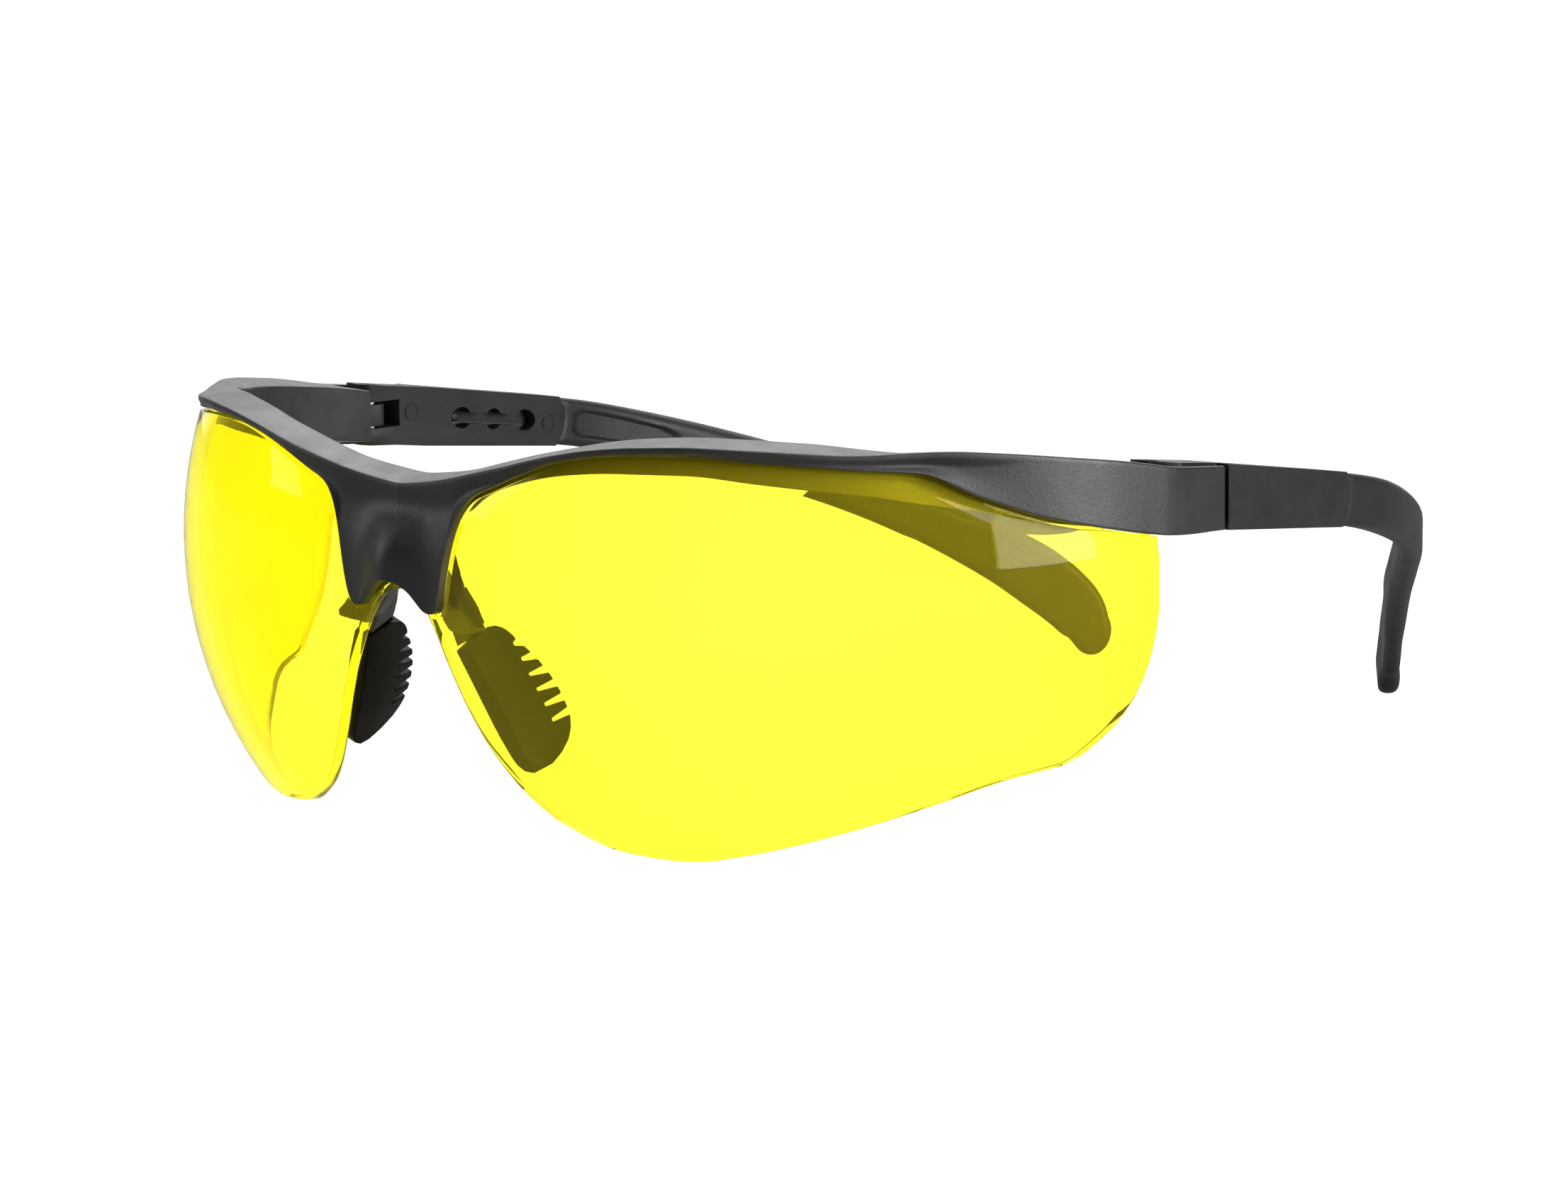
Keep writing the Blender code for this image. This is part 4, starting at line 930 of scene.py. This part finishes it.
# ---------------------------------------------------------------- pieces
def build_pieces():
    lens = place("lens_shield", lens_mesh(), LENS, "lens", "front", 40)
    # Second slot: the darker rim copy, painted shade along the lens's lower edge and ends.
    lens.data.materials.append(LENS_RIM_PAINTED_SHADE)
    lens.visible_shadow = False
    place("brow_frame", frame_mesh(), NYLON, "frame_front", "front", 40)
    place("nose_saddle", bracket_mesh(), GLOSS, "nose_bracket", "front")
    pad = pad_mesh()
    place("soft_pad_right", mirrored(pad), RUBBER, "nose_pad_right", "front")
    place("soft_pad_left", pad, RUBBER, "nose_pad_left", "front")
    sleeve, arm = sleeve_mesh(), arm_mesh()
    for side, flip in (("right", mirrored), ("left", lambda mesh: mesh)):
        place(f"sleeve_{side}", flip(sleeve), ARM_NYLON, f"temple_sleeve_{side}", f"sleeve_{side}",
              40)
        place(f"arm_{side}", flip(arm), ARM_NYLON, f"temple_arm_{side}", f"arm_{side}", 40)
        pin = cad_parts[f"hinge_pin_{side}"]
        pin.material_slots[0].material = STEEL


# ---------------------------------------------------------------- stage, light and camera
VIEW_AZ, VIEW_EL, VIEW_ROLL = 42.0, 8.277, -0.445
VIEW_FROM = Vector((0.488737, -0.473674 - ORIGIN_Y * MM, 0.128966))
FOCAL_MM, SENSOR_MM = 134.8373, 36.0
FLOOR_HALF, FLOOR_DROP = 12.0, 0.00005
FLOOR_GLOW, MIRRORED_GLOW = 1.0, 0.25
WALL_FROM, WALL_FULL, WALL_GLOW = 0.80, 0.93, 1.2
ROOM_LOW, ROOM_HIGH = 0.12, 0.06
LIGHTS = (("side", (1.09, 0.1, 0.27), (0.03, -0.03, 0.03), (0.6, 0.5), 20.0),
          ("top", (0.1, 0.0, 1.1), (0, 0, 0.02), (0.8, 0.6), 7.0),
          ("rear", (-0.45, 0.5, 0.8), (0, 0, 0.03), (0.9, 0.4), 9.0),
          ("left", (-0.9, -0.75, 0.45), (0, -0.05, 0.03), (0.3, 0.6), 3.0))


def make_camera():
    az, el, roll = (math.radians(a) for a in (VIEW_AZ, VIEW_EL, VIEW_ROLL))
    back = Vector((math.sin(az) * math.cos(el), -math.cos(az) * math.cos(el), math.sin(el)))
    right = Vector((math.cos(az), math.sin(az), 0))
    up = back.cross(right)
    right, up = right * math.cos(roll) + up * math.sin(roll), up * math.cos(roll) - right * math.sin(roll)
    data = bpy.data.cameras.new("view")
    data.sensor_width = SENSOR_MM
    data.lens = FOCAL_MM
    data.clip_start, data.clip_end = 0.01, 100
    camera = bpy.data.objects.new("view", data)
    turn = Matrix([right, up, back]).transposed().to_4x4()
    camera.matrix_world = Matrix.Translation(VIEW_FROM) @ turn
    bpy.context.scene.collection.objects.link(camera)
    bpy.context.scene.camera = camera


def view_back():
    """Level direction from the glasses to the viewer."""
    az = math.radians(VIEW_AZ)
    return Vector((math.sin(az), -math.cos(az), 0))


def dot_node(nodes, links, source, axis):
    node = nodes.new("ShaderNodeVectorMath")
    node.operation = "DOT_PRODUCT"
    node.inputs[1].default_value = axis
    links.new(source, node.inputs[0])
    return node.outputs["Value"]


def make_floor():
    """A wide white sheet, dimmer where the glasses mirror it so that black plastic stays black."""
    bm = bmesh.new()
    bmesh.ops.create_grid(bm, x_segments=1, y_segments=1, size=FLOOR_HALF)
    mesh = finish_mesh("floor", bm)
    floor = bpy.data.objects.new("floor", mesh)
    floor.location = (0, 0, -FLOOR_DROP)
    bpy.context.scene.collection.objects.link(floor)
    material, nodes, links, shader = new_material("pale_floor")
    paper = noise(nodes, links, 30.0, 2.0)
    tone = ramp(nodes, links, paper, ((0.3, (0.12, 0.12, 0.12, 1)), (0.7, (0.14, 0.14, 0.14, 1))))
    links.new(tone, shader.inputs["Base Color"])
    shader.inputs["Roughness"].default_value = 0.9
    shader.inputs["Specular IOR Level"].default_value = 0.1
    shader.inputs["Emission Color"].default_value = (1, 1, 1, 1)
    mirrored_ray = nodes.new("ShaderNodeLightPath").outputs["Is Reflection Ray"]
    glow = map_range(nodes, links, mirrored_ray, (0.0, 1.0, FLOOR_GLOW, MIRRORED_GLOW))
    links.new(glow, shader.inputs["Emission Strength"])
    mesh.materials.append(material)


def area_light(name, where, target, size, power):
    data = bpy.data.lights.new(name, "AREA")
    data.shape = "RECTANGLE"
    data.size, data.size_y = size
    data.energy = power
    light = bpy.data.objects.new(name, data)
    light.location = where
    light.rotation_euler = (Vector(target) - Vector(where)).to_track_quat("-Z", "Y").to_euler()
    bpy.context.scene.collection.objects.link(light)


def make_world():
    """A white backdrop over a dim room, with a bright wall straight behind the glasses."""
    world = bpy.data.worlds.new("studio")
    bpy.context.scene.world = world
    world.use_nodes = True
    nodes, links = world.node_tree.nodes, world.node_tree.links
    where = nodes.new("ShaderNodeTexCoord").outputs["Generated"]
    behind = dot_node(nodes, links, where, -view_back())
    wall = map_range(nodes, links, behind, (WALL_FROM, WALL_FULL, 0.0, 1.0), "SMOOTHSTEP")
    height = nodes.new("ShaderNodeSeparateXYZ")
    links.new(where, height.inputs[0])
    room = map_range(nodes, links, height.outputs["Z"], (0.0, 0.6, ROOM_LOW, ROOM_HIGH), "SMOOTHSTEP")
    lit = math_node(nodes, links, "ADD", room, math_node(nodes, links, "MULTIPLY", wall, WALL_GLOW))
    path = nodes.new("ShaderNodeLightPath").outputs
    plain = math_node(nodes, links, "ADD", path["Is Camera Ray"], path["Is Transmission Ray"], clamp=True)
    background = nodes["Background"]
    links.new(math_node(nodes, links, "MAXIMUM", lit, plain), background.inputs["Strength"])
    background.inputs["Color"].default_value = (1, 1, 1, 1)


build_pieces()
make_camera()
make_floor()
make_world()
for light_name, light_at, light_aim, light_size, light_power in LIGHTS:
    area_light(light_name, light_at, light_aim, light_size, light_power)
bpy.context.scene.view_settings.view_transform = "Standard"
